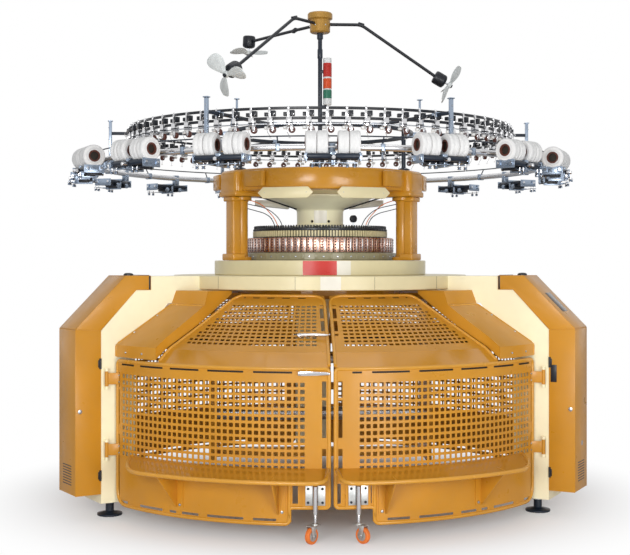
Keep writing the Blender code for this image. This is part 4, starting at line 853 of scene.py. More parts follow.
def hood(near, far, first, last, gate=True):
    """Sloped pierced panel with its tube and the folded foot on the leaf; near and far give turns."""
    piece = Piece()

    def between(inset):
        """Maps a share of the width, less an inset at either side, and a length up the slope."""
        def turn_at(u, radius, v):
            low, high = near(radius) + degrees_at(inset, radius), far(radius) - degrees_at(inset, radius)
            return low + u * (high - low)

        return curved(HOOD_LINE, turn_at)

    def field(u, radius, v):
        low, high = near(radius) + degrees_at(0.051, radius), far(radius) - degrees_at(0.045, radius)
        return np.clip(u * np.sqrt(HOOD_FOLD[0] / radius), low, high)

    us = [first + HOOD_PITCH * k for k in range(int((last - first) / HOOD_PITCH) + 2)]
    vs = [SCREEN_START + 0.0372 * k for k in range(13)]
    line = np.array(HOOD_LINE)
    along = np.array([0.0, FOLD, FOLD + SLOPE])

    def kind(i, j):
        inside = []
        for u in (us[i], us[i + 1]):
            for v in (vs[j], vs[j + 1]):
                radius = float(np.interp(v, along, line[:, 0]))
                turn = u * math.sqrt(HOOD_FOLD[0] / radius)
                low = float(near(radius) + degrees_at(0.05, radius))
                high = float(far(radius) - degrees_at(0.044, radius))
                inside.append(0 if low <= turn <= high else (-1 if turn < low else 1))
        if set(inside) == {0}:
            return HOLED
        return NONE if set(inside) in ({1}, {-1}) else SOLID

    piece.add(panel(curved(HOOD_LINE, field), us, vs, kind, *HOOD_SHEET, (0.35, 0.3)))
    whole = between(0.008)
    span = [k / 36 for k in range(37)]
    piece.add(panel(whole, span, [0.0, 0.03, 0.1, FOLD], solid, *HOOD_SHEET), mark=2)
    piece.add(panel(whole, span, [FOLD, FOLD + 0.006, SCREEN_START], solid, *HOOD_SHEET))
    top = vs[-1]
    crown = FOLD + SLOPE - 0.006

    def crown_slots(i, j):
        return NONE if j == 2 and i % 6 in (1, 2, 3) and 3 < i < 32 else SOLID

    piece.add(panel(whole, span, [top, (top + crown) / 2, crown - 0.03, crown - 0.014, crown],
                    crown_slots, *HOOD_SHEET))
    # Dark sheet behind the crown's slots: painted shade.
    piece.add(panel(whole, span[3:-3], [crown - 0.032, crown - 0.012], solid, *HOOD_SHADE_SHEET), mark=3)
    strips = ((far, -1.0, [0.008, 0.014, 0.026, 0.046], dashes),
              (near, 1.0, [0.008, 0.014, 0.042, 0.052], windows if gate else dashes))
    for edge, sign, offsets, kind_at in strips:
        def strip(u, radius, v, edge=edge, sign=sign):
            return edge(radius) + sign * degrees_at(u, radius)

        beside = curved(HOOD_LINE, strip)
        cells = [SCREEN_START + k * 0.0124 for k in range(37)]
        piece.add(turned_over(panel(beside, offsets, cells, kind_at, *HOOD_SHEET), sign))
        # Behind the dashes, a dark sheet: painted shade.
        if kind_at is dashes:
            shade_sheet = panel(beside, [0.013, 0.027], cells[::4] + cells[-1:], solid, *HOOD_SHADE_SHEET)
            piece.add(turned_over(shade_sheet, sign), mark=3)
    # tube round the two sides and the top
    high = FOLD + SLOPE - 0.004
    wide = 0.6 if gate else 1.6
    path = filled_in(rounded([(0.0, 0.012), (0.0, high), (wide, high), (wide, 0.012)],
                             (0.0, 0.085, 0.062, 0.0), steps=8), 0.025)
    values = np.array([(point[0] / wide, point[1]) for point in path])
    piece.add(tube(*on_map(between(HOOD_TUBE), values), HOOD_TUBE, 12), mark=1)
    return piece


def on_map(place, values):
    """A run of (u, v) points and its normals in space."""
    u, v = values.T
    centre = place(u, v, np.full(len(values), 0.0))
    return centre, place(u, v, np.full(len(values), 0.01)) - centre


def gate_near(radius):
    return np.degrees(np.arcsin(0.007 / radius))


def gate_far(radius):
    return 40.0 - 4.0 * rise_at(radius)


def bay_half(radius):
    return 60.0 - np.degrees(np.arcsin(LEG_CLEARANCE / radius))


for side in ("right", "left"):
    body = "gate_" + side
    make(body + "_leaf", gate_leaf(side), LEAF_LOOKS, body,
         (body + "_frame", body + "_screen"), side == "left")
    make(body + "_sloped_screen", hood(gate_near, gate_far, 0.0, 40.0), HOOD_LOOKS, body,
         (body + "_hood",), side == "left")

for side, turn in BAYS.items():
    leaf = guard_leaf().turned(at(turn))
    make("guard_%s_leaf" % side, leaf, LEAF_LOOKS, "machine",
         ("guard_%s_frame" % side, "guard_%s_screen" % side))
    cover = hood(lambda radius: -bay_half(radius), bay_half, -52.15, 52.15, False)
    make("guard_%s_sloped_screen" % side, cover.turned(at(turn)), HOOD_LOOKS, "machine",
         ("guard_%s_hood" % side,))


# Fixed corner covers beside the gates' sloped screens

def corner_cover():
    """Folded sheet from the gate's sloped screen to the leg, with a cheek beside the gate."""
    piece = Piece()
    line = [(1.55, 0.98), (1.55, 1.05), (1.365, 1.17), (1.18, 1.29), (1.15, 1.3707), (0.93, 1.3707)]

    def near(radius):
        return np.maximum(gate_far(radius) + arc(0.01, HOOD_FOLD[0]), 38.5)

    def turn_at(u, radius, v):
        return near(radius) + u * (bay_half(radius) - near(radius))

    spots = np.array(line)
    lengths = lengths_along(spots)
    vs = steps_between(list(lengths), 0.06)
    place = curved(line, turn_at)
    piece.add(panel(place, [k / 10 for k in range(11)], vs, solid, -0.001, 0.003))

    def cheek(u, v, w):
        radius = np.interp(v, lengths, spots[:, 0])
        above = np.interp(v, lengths, spots[:, 1])
        below = np.interp(radius, [0.93, 1.46, 1.55], [1.352, 1.047, 0.984])
        turn = np.radians(near(radius) + np.degrees(w / radius))
        height = below + u * np.maximum(above - below, 0.002)
        return np.stack([radius * np.sin(turn), -radius * np.cos(turn), height], 1)

    piece.add(outward(panel(cheek, [0.0, 0.5, 1.0], vs[1:], solid, 0.0, 0.003)))
    top = lengths[3] - 0.01
    edge = filled_in(rounded([(1.0, 0.004), (1.0, top), (0.03, top)], (0.0, 0.04, 0.0)), 0.03)
    values = np.array([(min(point[0], 0.985), point[1]) for point in edge])
    piece.add(tube(*on_map(place, values), 0.0075), mark=1)
    for share, length in ((0.3, 0.03), (0.7, 0.03), (0.93, 0.2), (0.93, 0.38)):
        spot, ahead = place(np.array([share] * 2), np.array([length] * 2), np.array([0.003, 0.013]))
        piece.add(bolt_head(0.007), aimed(Vector(spot), Vector(ahead - spot)), 2)
    return piece


for side in ("right", "left"):
    make("corner_cover_%s_sheet" % side, corner_cover(), [OCHRE, OCHRE_EDGE, STEEL], "machine",
         ("corner_cover_" + side,), side == "left")


# Bed, cabinets and pillars

PLATE_SHEET = (0.0, 0.002)


def build_bed():
    """Both rings with the seams of the plate and the plain plates on its front."""
    plate = Piece().add(sweep(rounded_box_line(BORE, BED_RADIUS, 1.378, 1.464, 0.005), steps=180))
    plate.add(sweep(rounded_box_line(BORE, BED_RING_RADIUS, BED_TOP, 1.5603, 0.005), steps=180))
    for turn in (-11.2, 17.0, -42.0, 45.0, 90.0, 135.0, 180.0, 225.0, 270.0):
        plate.add(block(0.0008, -0.0006, 0.002, 1.382, 1.46, 0.0), at(turn, BED_RADIUS), 1)
    upper = curved([(BED_RING_RADIUS, 1.468), (BED_RING_RADIUS, 1.557)])
    us = steps_between([-11.1, 13.0], 1.5)
    plate.add(panel(upper, [u for u in us if u < 6.0], [0.0, 0.089], solid, *PLATE_SHEET), mark=3)
    plate.add(panel(upper, [u for u in us if u > 4.5], [0.0, 0.089], solid, *PLATE_SHEET), mark=4)
    under = curved([(BED_RADIUS, 1.381), (BED_RADIUS, 1.462)])
    plate.add(panel(under, steps_between([-2.4, 4.8], 1.3), [0.0, 0.081], solid, 0.0, 0.0012), mark=4)
    make("bed", plate, [CREAM, SEAM_AND_SHADE, STEEL, PLATE_RED, PLATE_PALE], "machine",
         ("bed_plate", "bed_ring"))


def cabinet(side, turn):
    """Closed housing outside a leg: core, panel leaves with thin seams, hinges and fittings."""
    piece = Piece()
    top = CABINET_TOP
    core = [(1.317, 1.3809), (1.4135, 1.3809), (1.6428, 1.1385), (1.6428, 0.16), (1.8015, 0.16),
            (1.8015, 1.147), (1.482, top - 0.003), (1.317, top - 0.003)]
    piece.add(radial_prism(core, 0.1312, 0.0))
    low = [(1.6413, 0.158), (1.803, 0.158), (1.803, 1.1455), (1.8005, 1.1465), (1.6413, 1.1365)]
    high = [(1.3155, 1.3794), (1.413, 1.3794), (1.6425, 1.1393), (1.8, 1.1505), (1.4825, 1.466),
            (1.3155, 1.466)]
    for x in (-0.13265, 0.13265):
        piece.add(radial_prism(low, 0.00135, 0.0006, x))
        piece.add(radial_prism(high, 0.00135, 0.0006, x))
    piece.add(block(0.1295, -1.8034, -1.801, 0.16, 1.143, 0.001))
    slope = Vector((0.0, CABINET_RADIUS - 1.483, top - 1.148))
    on_slope = shift(0.0, -CABINET_RADIUS, 1.148) @ spin(math.degrees(math.atan2(slope.z, slope.y)), "X")
    piece.add(block(0.1295, 0.003, slope.length - 0.004, -0.0028, 0.0, 0.001), on_slope)
    piece.add(block(0.1295, -1.481, -1.318, top - 0.003, top, 0.001))
    sign = -1.0 if side == "right" else 1.0
    front = 0.134 * sign
    for height in (0.27, 0.94):
        piece.add(spool([(0.006, -0.032), (0.0075, -0.03)], 14), shift(front, -1.646, height), 1)
        piece.add(box((front - 0.0055, -1.66, height - 0.022), (front + 0.0055, -1.65, height + 0.022),
                      0.001), None, 1)
    # black edge strips at the inner end, which paint the shade of the gap there, and round cap on the top
    piece.add(block(0.12, -1.332, -1.32, top - 0.002, top + 0.003, 0.001), None, 1)
    piece.add(block(0.1346, -1.33, -1.318, 1.381, top - 0.003, 0.001), None, 1)
    piece.add(lathe([(0.03, top - 0.001), (0.03, top + 0.008), (0.022, top + 0.014),
                     (0.01, top + 0.016)], 28), shift(0.03, -1.42, 0.0), 1)
    # round lock on the side leaf, and vent slots low on the outer face as black bars, which are painted
    # shade
    piece.add(lathe([(0.013, 0.0), (0.013, 0.003), (0.006, 0.005)], 20),
              shift(front, -1.775, 0.66) @ spin(90.0 * sign, "Y"), 2)
    for k in range(8):
        piece.add(block(0.07, -1.8039, -1.803, 0.215 + 0.016 * k, 0.221 + 0.016 * k, 0.0), None, 1)
    if side == "right":
        piece.add(box((front - 0.002, -1.69, 0.82), (front + 0.0015, -1.652, 0.925), 0.001), None, 1)
        piece.add(block(0.052, 0.14, 0.3, -0.001, 0.0012, 0.001), on_slope, 3)
        piece.add(lathe([(0.016, 0.0), (0.016, 0.0006)], 24), shift(0.02, -1.8033, 0.44) @ spin(90, "X"),
                  2)
    piece.turned(at(turn))
    make("cabinet_%s_housing" % side, piece, [OCHRE, BLACK, STEEL, GLOSS], "machine",
         ("cabinet_" + side,))


build_bed()
for side, turn in LEGS.items():
    cabinet(side, turn)


def softened(name, finish, width=0.004):
    """Keeps a CAD node's shape, with eased edges and a better finish."""
    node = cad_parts[name]
    node.data.materials.clear()
    node.data.materials.append(finish)
    bevel = node.modifiers.new("eased", "BEVEL")
    bevel.width = width
    bevel.segments = 2
    bevel.limit_method = "ANGLE"
    bevel.angle_limit = math.radians(35.0)


# The legs wear the lighter copy of the cream, which is painted light.
for side in LEGS:
    softened("leg_" + side, CREAM_LIT)
softened("take_down_frame", CASTING)
softened("take_down_rollers", CHROME, 0.002)
softened("batch_roller", STEEL, 0.002)


def build_pillars():
    """Round column with flanges and a narrow web on its outer side."""
    low, high = BED_RING_TOP, PILLAR_TOP
    column = [(0.072, low), (0.075, low + 0.003), (0.075, low + 0.019), (0.072, low + 0.022),
              (0.056, low + 0.026), (0.0505, low + 0.036), (0.0505, high - 0.036), (0.056, high - 0.026),
              (0.072, high - 0.022), (0.075, high - 0.019), (0.075, high - 0.003), (0.072, high)]
    for side, turn in LEGS.items():
        piece = Piece()
        piece.add(lathe(column, 56), at(turn, PILLAR_RADIUS))
        piece.add(block(0.05, -0.7, -0.64, low + 0.001, high - 0.001, 0.01, 4), at(turn))
        piece.add(block(0.076, -0.714, -0.62, low + 0.0005, low + 0.044, 0.008, 3), at(turn))
        piece.add(block(0.064, -0.712, -0.64, high - 0.03, high - 0.0005, 0.008, 3), at(turn))
        for k in range(6):
            place = at(turn, PILLAR_RADIUS) @ spin(60.0 * k, "Z") @ shift(0.0635, 0.0, 0.0)
            piece.add(bolt_head(0.0065), place @ shift(z=low + 0.021), 1)
            piece.add(bolt_head(0.0065), place @ shift(z=high - 0.021) @ spin(180, "X"), 1)
        make("pillar_%s_casting" % side, piece, [CASTING, BLACK], "machine",
             ("pillar_" + side,))


def build_upper_frame():
    """Ring beam, hub and three spokes, with a rounded block over each pillar."""
    piece = Piece()
    beam = [(0.574, 2.01), (0.668, 2.01), (0.676, 2.013), (0.68, 2.022), (0.68, 2.134),
            (0.676, 2.144), (0.666, 2.1485), (0.584, 2.1485), (0.574, 2.144), (0.57, 2.134),
            (0.57, 2.014)]
    piece.add(sweep(beam, steps=180))
    piece.add(lathe([(0.224, 2.03), (0.23, 2.036), (0.23, 2.138), (0.222, 2.146)], 72))
    for turn in LEGS.values():
        piece.add(block(0.06, -0.6, -0.18, 2.04, 2.138, 0.012, 3), at(turn))
        piece.add(block(0.11, -0.716, -0.52, 1.975, 2.147, 0.032, 5), at(turn))
        piece.add(block(0.112, -0.718, -0.518, 1.975, 2.012, 0.01, 3), at(turn))
        for sign in (-1.0, 1.0):
            ramp = [(0.0, -0.69), (sign * 0.16, -0.672), (sign * 0.16, -0.64), (0.0, -0.64)]
            piece.add(prism(ramp[::int(sign)], 2.03, 2.132, 0.008), at(turn) @ shift(sign * 0.09) @ spin(
                sign * 7.0, "Z"))
    make("upper_casting", piece, [CASTING, STEEL], "machine", ("upper_frame",))


def build_feet():
    """Levelling feet, which the photo doesn't show."""
    piece = Piece()
    for turn in LEGS.values():
        piece.add(lathe([(0.074, 0.0), (0.0765, 0.003), (0.0765, 0.013), (0.07, 0.0145), (0.03, 0.0235),
                         (0.0255, 0.026), (0.0255, 0.101)], 40), at(turn, 1.53))
        piece.add(lathe([(0.04, 0.076), (0.042, 0.078), (0.042, 0.096), (0.04, 0.0985)], 6),
                  at(turn, 1.53), 1)
    make("levelling_feet", piece, [DARK, STEEL], "machine")


build_pillars()
build_upper_frame()
build_feet()


# Latches and casters

def latch(name, height):
    """A bright tapered lever whose boss stands on the left gate."""
    if height < HOOD_FOOT[1]:
        radius, rise, run, skin = GATE_RADIUS, 0.0, -1.0, 0.012
    else:
        radius = HOOD_FOLD[0] - (height - HOOD_FOLD[1]) * HOOD_RUN / HOOD_RISE
        rise, run, skin = HOOD_RUN / SLOPE, -HOOD_RISE / SLOPE, 0.007
    turn = -math.degrees(math.asin(0.172 / radius))
    out = Vector((0.0, run, rise))
    along = Vector((1.0, 0.0, 0.0))
    pose = Matrix.Identity(4)
    pose.col[0][:3], pose.col[1][:3], pose.col[2][:3] = along, out.cross(along), out
    pose = at(turn, radius, height) @ pose
    outline = [(-0.016, -0.01), (-0.01, -0.0125), (0.01, -0.012), (0.09, -0.01), (0.15, -0.0085),
               (0.16, -0.005), (0.163, 0.0), (0.16, 0.005), (0.15, 0.0085), (0.09, 0.01),
               (0.01, 0.012), (-0.01, 0.0125), (-0.016, 0.01)]
    piece = Piece()
    piece.add(prism(outline, skin + 0.01, skin + 0.02, 0.003), pose)
    piece.add(lathe([(0.013, skin + 0.0004), (0.014, skin + 0.002), (0.014, skin + 0.01)], 24), pose)
    piece.add(bolt_head(0.008, 0.005), pose @ shift(z=skin + 0.0195), 1)
    make(name + "_lever", piece, [CHROME, STEEL], name, (name,))


latch("latch_lower", 0.935)
latch("latch_upper", 1.114)


def caster(side):
    """Bracket on the gate, fork with its stem, and wheel, in the turn at rest that the photo shows."""
    place = at(math.degrees(math.asin(CASTER_OFFSETS[side] / CASTER_RADIUS)), CASTER_RADIUS)
    plate = Piece()
    inner = 0.015
    plate.add(block(0.055, inner - 0.006, inner - 0.0003, 0.205, 0.315, 0.002))
    plate.add(block(0.015, -0.002, inner - 0.0055, 0.206, 0.314, 0.002, 1), mark=1)
    plate.add(lathe([(0.011, 0.155), (0.0135, 0.158), (0.0135, 0.312), (0.011, 0.315)], 24), mark=2)
    for x in (-0.04, 0.04):
        for z in (0.222, 0.298):
            plate.add(bolt_head(0.0075), shift(x, inner - 0.006, z) @ spin(90, "X"), 1)
    plate.turned(place)
    make("caster_%s_bracket" % side, plate, [ZINC, BLACK, CHROME], "gate_" + side,
         ("caster_plate_" + side,))
    fork = Piece()
    fork.add(lathe([(0.0085, 0.1), (0.0085, 0.15), (0.0075, 0.1545)], 20), mark=1)
    fork.add(lathe([(0.018, 0.101), (0.021, 0.104), (0.021, 0.109), (0.012, 0.113)], 24))
    fork.add(block(0.0225, -0.022, 0.052, 0.0985, 0.1035, 0.003, 3))
    cheek = [(0.014, 0.103), (0.028, 0.034), (0.032, 0.031), (0.037, 0.031), (0.043, 0.035),
             (0.055, 0.103)]
    for x in (-0.0185, 0.0185):
        points, faces = prism(cheek, -0.0018, 0.0018, 0.0008)
        fork.add((np.stack([x + points[:, 2], points[:, 0], points[:, 1]], 1), faces))
    fork.add(rod((-0.0235, 0.032, 0.046), (0.0235, 0.032, 0.046), 0.006, 16, 0.001), mark=1)
    rest = place @ spin(CASTER_REST[side], "Z")
    fork.turned(rest)
    make("caster_%s_fork" % side, fork, [ZINC, CHROME], "caster_fork_" + side,
         ("caster_fork_" + side,))
    wheel = Piece()
    wheel.add(spool([(0.03, -0.0125), (0.041, -0.013), (0.0448, -0.0105), (0.046, -0.006)], 40))
    wheel.add(spool([(0.012, -0.0145), (0.02, -0.0135), (0.029, -0.0131)], 32), mark=1)
    wheel.turned(rest @ shift(0.0, 0.032, 0.046) @ spin(90, "Y"))
    make("caster_%s_tread" % side, wheel, [ORANGE, ZINC], "caster_wheel_" + side,
         ("caster_wheel_" + side,))


for side in ("left", "right"):
    caster(side)


# Knitting head

def build_cams():
    """Cam base with its screws, and the ring of cam blocks, each with a row of screws and a bright edge."""
    base = Piece().add(sweep(rounded_box_line(BORE, 0.52, BED_RING_TOP, 1.6116, 0.006), steps=144))
    for k in range(36):
        base.add(bolt_head(0.006), facing(10.0 * k, 0.52, 1.585), 1)
        base.add(block(0.012, -0.001, 0.004, 1.568, 1.605, 0.002), at(10.0 * k + 5.0, 0.5205))
    make("cam_base_ring", base, [OLIVE, STEEL], "machine", ("cam_base",))
    # The ring under the cam blocks is dark, so the gaps between the blocks show painted shade.
    cams = Piece().add(sweep(rounded_box_line(BORE, CAM_RADIUS, 1.6119, 1.7109, 0.002), steps=144),
                       mark=2)
    cam = block(0.0195, -0.008, 0.004, 1.6135, 1.7085, 0.002)
    screw = lathe([(0.0054, 0.0), (0.0054, 0.0012), (0.003, 0.002)], 10)
    bright = box((0.004, -0.0092, 1.622), (0.012, -0.0075, 1.7), 0.0008)
    for k in range(CAM_COUNT):
        turn = 360.0 * k / CAM_COUNT
        cams.add(cam, at(turn, CAM_RADIUS))
        for row in range(5):
            place = at(turn, CAM_RADIUS + 0.008, 1.6245 + 0.0182 * row)
            cams.add(screw, place @ shift(-0.0095, 0, 0) @ spin(90, "X"), 1)
        cams.add(bright, at(turn, CAM_RADIUS), 3)
    make("cam_blocks", cams, [PINK, DOTS, SEAM_AND_SHADE, CHROME], "machine", ("cam_ring",))


def build_dial():
    """Toothed dial ring, and the cream column over it with a plain plate."""
    dial = Piece().add(lathe([(0.44, 1.7113), (0.446, 1.7125), (0.446, 1.752), (0.452, 1.758),
                              (0.452, 1.77), (0.436, 1.776)], 144), mark=1)
    key = block(0.0062, -0.011, 0.004, 1.716, 1.755, 0.0015, 1)
    tooth = lathe([(0.0044, 1.768), (0.0052, 1.772), (0.0052, 1.787), (0.003, 1.7905)], 8)
    for k in range(144):
        dial.add(key, at(2.5 * k + 1.25, 0.446))
        dial.add(tooth, at(2.5 * k, 0.445), 1)
    lug = block(0.008, -0.01, 0.004, 1.758, 1.769, 0.001, 1)
    for k in range(CAM_COUNT):
        dial.add(lug, at(360.0 * k / CAM_COUNT, 0.446), 1)
    for k in range(24):
        dial.add(rod(polar(0.18, 15.0 * k, 1.781), polar(0.43, 15.0 * k, 1.781), 0.006, 10), mark=2)
    make("dial_blocks", dial, [KHAKI, BLACK, STEEL], "machine", ("dial_ring",))
    column = Piece()
    column.add(lathe([(0.158, 1.7912), (0.158, 1.888), (0.16, 1.896), (0.166, 1.9035), (0.176, 1.909),
                      (0.355, 1.9815), (0.358, 1.985), (0.358, 1.99), (0.354, 1.993), (0.22, 1.999),
                      (0.215, 2.004), (0.215, 2.0297)], 96))
    column.add(sweep(rounded_box_line(0.15, 0.166, 1.7912, 1.806, 0.003), steps=96))
    plate = curved([(0.158, 1.81), (0.158, 1.9)])
    column.add(panel(plate, steps_between([-17.0, 14.0], 2.0), [0.0, 0.085], solid, *PLATE_SHEET), mark=1)
    for turn in (-22.0, 19.0):
        column.add(bolt_head(0.009), facing(turn, 0.158, 1.822), 2)
    # The column wears the lighter copy of the cream, which is painted light.
    make("column_body", column, [CREAM_LIT, PLATE_PALE, SEAM_AND_SHADE], "machine",
         ("dial_column",))


def build_head_fittings():
    """Gauge on a short post, oil and air lines to the dial, and two lamp boxes with their stays."""
    extras = Piece()
    extras.add(rod(polar(0.36, 35.0, 1.776), polar(0.36, 35.0, 1.816), 0.005))
    extras.add(lathe([(0.02, -0.012), (0.024, -0.01), (0.024, 0.01), (0.018, 0.013)], 28),
               facing(35.0, 0.36, 1.834), 1)
    for sign in (-1.0, 1.0):
        for k, (reach, high) in enumerate(((0.4, 1.9), (0.42, 1.93), (0.36, 1.87))):
            corners = [polar(0.4 - 0.02 * k, sign * (40.0 + 9.0 * k), 1.772),
                       polar(0.41 - 0.02 * k, sign * (42.0 + 9.0 * k), 1.83),
                       polar(reach + 0.06, sign * (50.0 + 5.0 * k), high),
                       polar(0.585, sign * 57.0, high + 0.03)]
            line = rounded(corners, (0.0, 0.045, 0.05, 0.0), steps=8)
            extras.add(tube(line, None, 0.0028, 8), mark=3 if k == 1 else 2)
        extras.add(rod(polar(0.185, sign * 62.0, 1.906), polar(0.545, sign * 62.0, 2.004), 0.005), mark=1)
        outline = [(-0.12, 0.016), (-0.12, -0.022), (0.11, -0.045), (0.12, -0.038), (0.03, 0.016)]
        place = shift(sign * 0.325, 0.16, 1.962) @ spin(0 if sign < 0 else 180, "Z") @ spin(90, "X")
        extras.add(prism(outline, -0.045, 0.045, 0.004), place, 4)
        extras.add(rod((sign * 0.325, 0.16, 1.97), (sign * 0.325, 0.16, 2.03), 0.008), mark=1)
    make("head_fittings", extras, [STEEL, BLACK, DARK, ORANGE, PLATE_PALE], "machine")


def build_signs():
    """Two plain six-sided panels that hang under the beam."""
    half, tall, high, slant = 0.185, 0.07, 2.022, 0.035
    outline = [(-half, high - tall / 2), (-half + slant, high - tall), (half - slant, high - tall),
               (half, high - tall / 2), (half - slant, high), (-half + slant, high)]
    points, faces = prism(outline, 0.0, 0.0118, 0.002)
    for side, turn in (("left", -21.0), ("right", 21.0)):
        piece = Piece().add((np.stack([points[:, 0], -points[:, 2], points[:, 1]], 1), faces))
        for x in (-0.14, 0.14):
            piece.add(bolt_head(0.004, 0.002), shift(x, -0.0102, high - tall / 2) @ spin(90, "X"), 1)
        piece.turned(at(turn, 0.6804))
        make("plain_sign_" + side, piece, [CREAM, STEEL], "machine", ("sign_" + side,))


build_cams()
build_dial()
build_head_fittings()
build_signs()


# Pole, signal light and fans

RING = 4  # the finish of the pale rings between the lenses


def build_pole():
    """Stepped pole with its foot and the two arms of the signal light."""
    pole = Piece().add(lathe([(0.052, 2.1463), (0.055, 2.149), (0.055, 2.16), (0.05, 2.165),
                              (0.022, 2.168), (0.018, 2.18), (0.0145, 2.19), (0.0145, 2.935),
                              (0.018, 2.94), (0.018, 2.998), (0.0145, 3.003), (0.0145, 3.066),
                              (0.021, 3.07), (0.021, 3.1085)], 32))
    for k in range(4):
        pole.add(bolt_head(0.007), at(90.0 * k + 45.0, 0.043, 2.164), 1)
    for height in (2.62, 2.86):
        pole.add(box((0.008, -0.012, height - 0.022), (0.05, 0.012, height - 0.002), 0.002))
    make("fan_pole_tube", pole, [DARK, STEEL], "machine", ("fan_pole",))


def build_signal_light():
    """Ribbed coloured lenses between pale rings."""
    light = Piece()
    rings = [(2.62, 2.665, RING), (2.665, 2.722, 3), (2.722, 2.732, RING), (2.732, 2.8, 2),
             (2.8, 2.812, RING), (2.812, 2.905, 1), (2.905, 2.94, RING)]
    for low, high, mark in rings:
        radius = 0.03 if mark != RING else 0.0285
        light.add(lathe([(radius - 0.002, low), (radius, low + 0.002), (radius, high - 0.002),
                         (radius - 0.002, high)], 36), shift(0.05), mark)
        ribs = int((high - low) / 0.008) - 1 if mark != RING else 0
        for middle in (low + 0.008 * (k + 1) for k in range(ribs)):
            light.add(sweep([(radius - 0.001, middle - 0.002), (radius + 0.0008, middle),
                             (radius - 0.001, middle + 0.002)], steps=36), shift(0.05), mark)
    make("signal_stack", light, [PALE, RED, ORANGE_LENS, GREEN, PALE], "machine",
         ("signal_light",))


# turn, reach and height of each motor, and the tilt of its shaft from straight down
FANS = {"right": (90.0, 0.82, 2.8, 60.0), "front": (-40.0, 0.89, 2.75, 60.0),
        "rear": (-143.0, 0.82, 3.165, 5.0)}


def build_fans():
    """Turning head with three bent arms, each with a motor and a three-bladed fan."""
    head = Piece().add(lathe([(0.06, 3.1102), (0.069, 3.118), (0.069, 3.196), (0.0735, 3.2),
                              (0.085, 3.206), (0.085, 3.238), (0.079, 3.246)], 48))
    for k in range(6):
        head.add(bolt_head(0.006, 0.0045), facing(60.0 * k + 30.0, 0.0675, 3.158), 2)
    blade = fan_blade()
    fin = box((0.0435, -0.0012, -0.03), (0.0462, 0.0012, 0.026), 0.0006)
    for name, (turn, reach, height, tilt) in FANS.items():
        angle = math.radians(tilt)
        shaft = polar(1.0, turn) * math.sin(angle) - Vector((0.0, 0.0, math.cos(angle)))
        tip = polar(reach, turn, height)
        elbow = polar(0.28, turn, 3.17)
        path = rounded([polar(0.02, turn, 3.17), elbow, tip], (0.0, 0.035, 0.0), steps=6)
        head.add(tube(path, None, 0.0108, 14), mark=1)
        head.add(block(0.0125, -0.022, 0.022, -0.0125, 0.0125, 0.004, 3),
                 Matrix.Translation(elbow) @ spin(turn, "Z") @ spin(17, "X"), 1)
        pose = aimed(tip, shaft)
        head.add(lathe([(0.034, -0.045), (0.042, -0.041), (0.045, -0.034), (0.045, 0.03), (0.04, 0.038),
                        (0.024, 0.045)], 32), pose, 1)
        for k in range(16):
            head.add(fin, pose @ spin(22.5 * k, "Z"), 1)
        head.add(lathe([(0.006, 0.04), (0.006, 0.064)], 12), pose, 2)
        rotor = Piece()
        hub = pose @ shift(z=0.0653)
        rotor.add(lathe([(0.02, -0.001), (0.022, 0.002), (0.022, 0.018), (0.017, 0.025)], 28), hub)
        rotor.add(lathe([(0.013, 0.022), (0.013, 0.03), (0.008, 0.0338)], 24), hub, 1)
        for k in range(3):
            rotor.add(blade, hub @ spin(120.0 * k, "Z"))
        make("fan_%s_blades" % name, rotor, [BLADE, BLACK], "propeller_" + name,
             ("propeller_" + name,), sharp=50.0)
    make("fan_head_body", head, [BRASS, BLACK, STEEL], "fan_head", ("fan_head",))


def fan_blade():
    """A broad twisted blade with a rounded tip, along +X from the hub."""
    columns = 10
    outline = [(0.014, -0.011, 0.012), (0.032, -0.026, 0.022), (0.055, -0.043, 0.034),
               (0.08, -0.053, 0.045), (0.104, -0.056, 0.052), (0.124, -0.052, 0.051),
               (0.137, -0.042, 0.044), (0.145, -0.028, 0.033), (0.1492, -0.01, 0.014)]
    lines = []
    for side in (1.0, -1.0):
        grid = []
        for reach, low, high in outline:
            pitch = math.radians(30.0 - 80.0 * (reach - 0.014))
            line = []
            for k in range(columns + 1):
                across = low + (high - low) * k / columns
                crown = max(0.0, 1.0 - (2 * k / columns - 1) ** 2)
                z = 0.002 * side * math.sqrt(crown) * (1.2 - reach * 4.0) + 0.006 * crown
                line.append((reach, across * math.cos(pitch) - z * math.sin(pitch),
                             0.011 + across * math.sin(pitch) + z * math.cos(pitch)))
            grid.append(line)
        lines.append(grid)
    body = bmesh.new()
    made = [[[body.verts.new(point) for point in line] for line in grid] for grid in lines]
    for level, grid in enumerate(made):
        for i in range(len(grid) - 1):
            for k in range(columns):
                face = (grid[i][k], grid[i + 1][k], grid[i + 1][k + 1], grid[i][k + 1])
                body.faces.new(face if level else face[::-1])
    for i in (0, len(outline) - 1):
        for k in range(columns):
            body.faces.new((made[0][i][k], made[0][i][k + 1], made[1][i][k + 1], made[1][i][k]))
    bmesh.ops.remove_doubles(body, verts=body.verts, dist=0.00005)
    return arrays(body)


build_pole()
build_signal_light()
build_fans()


# Creel: support, feeders, the elastane ring and its packages

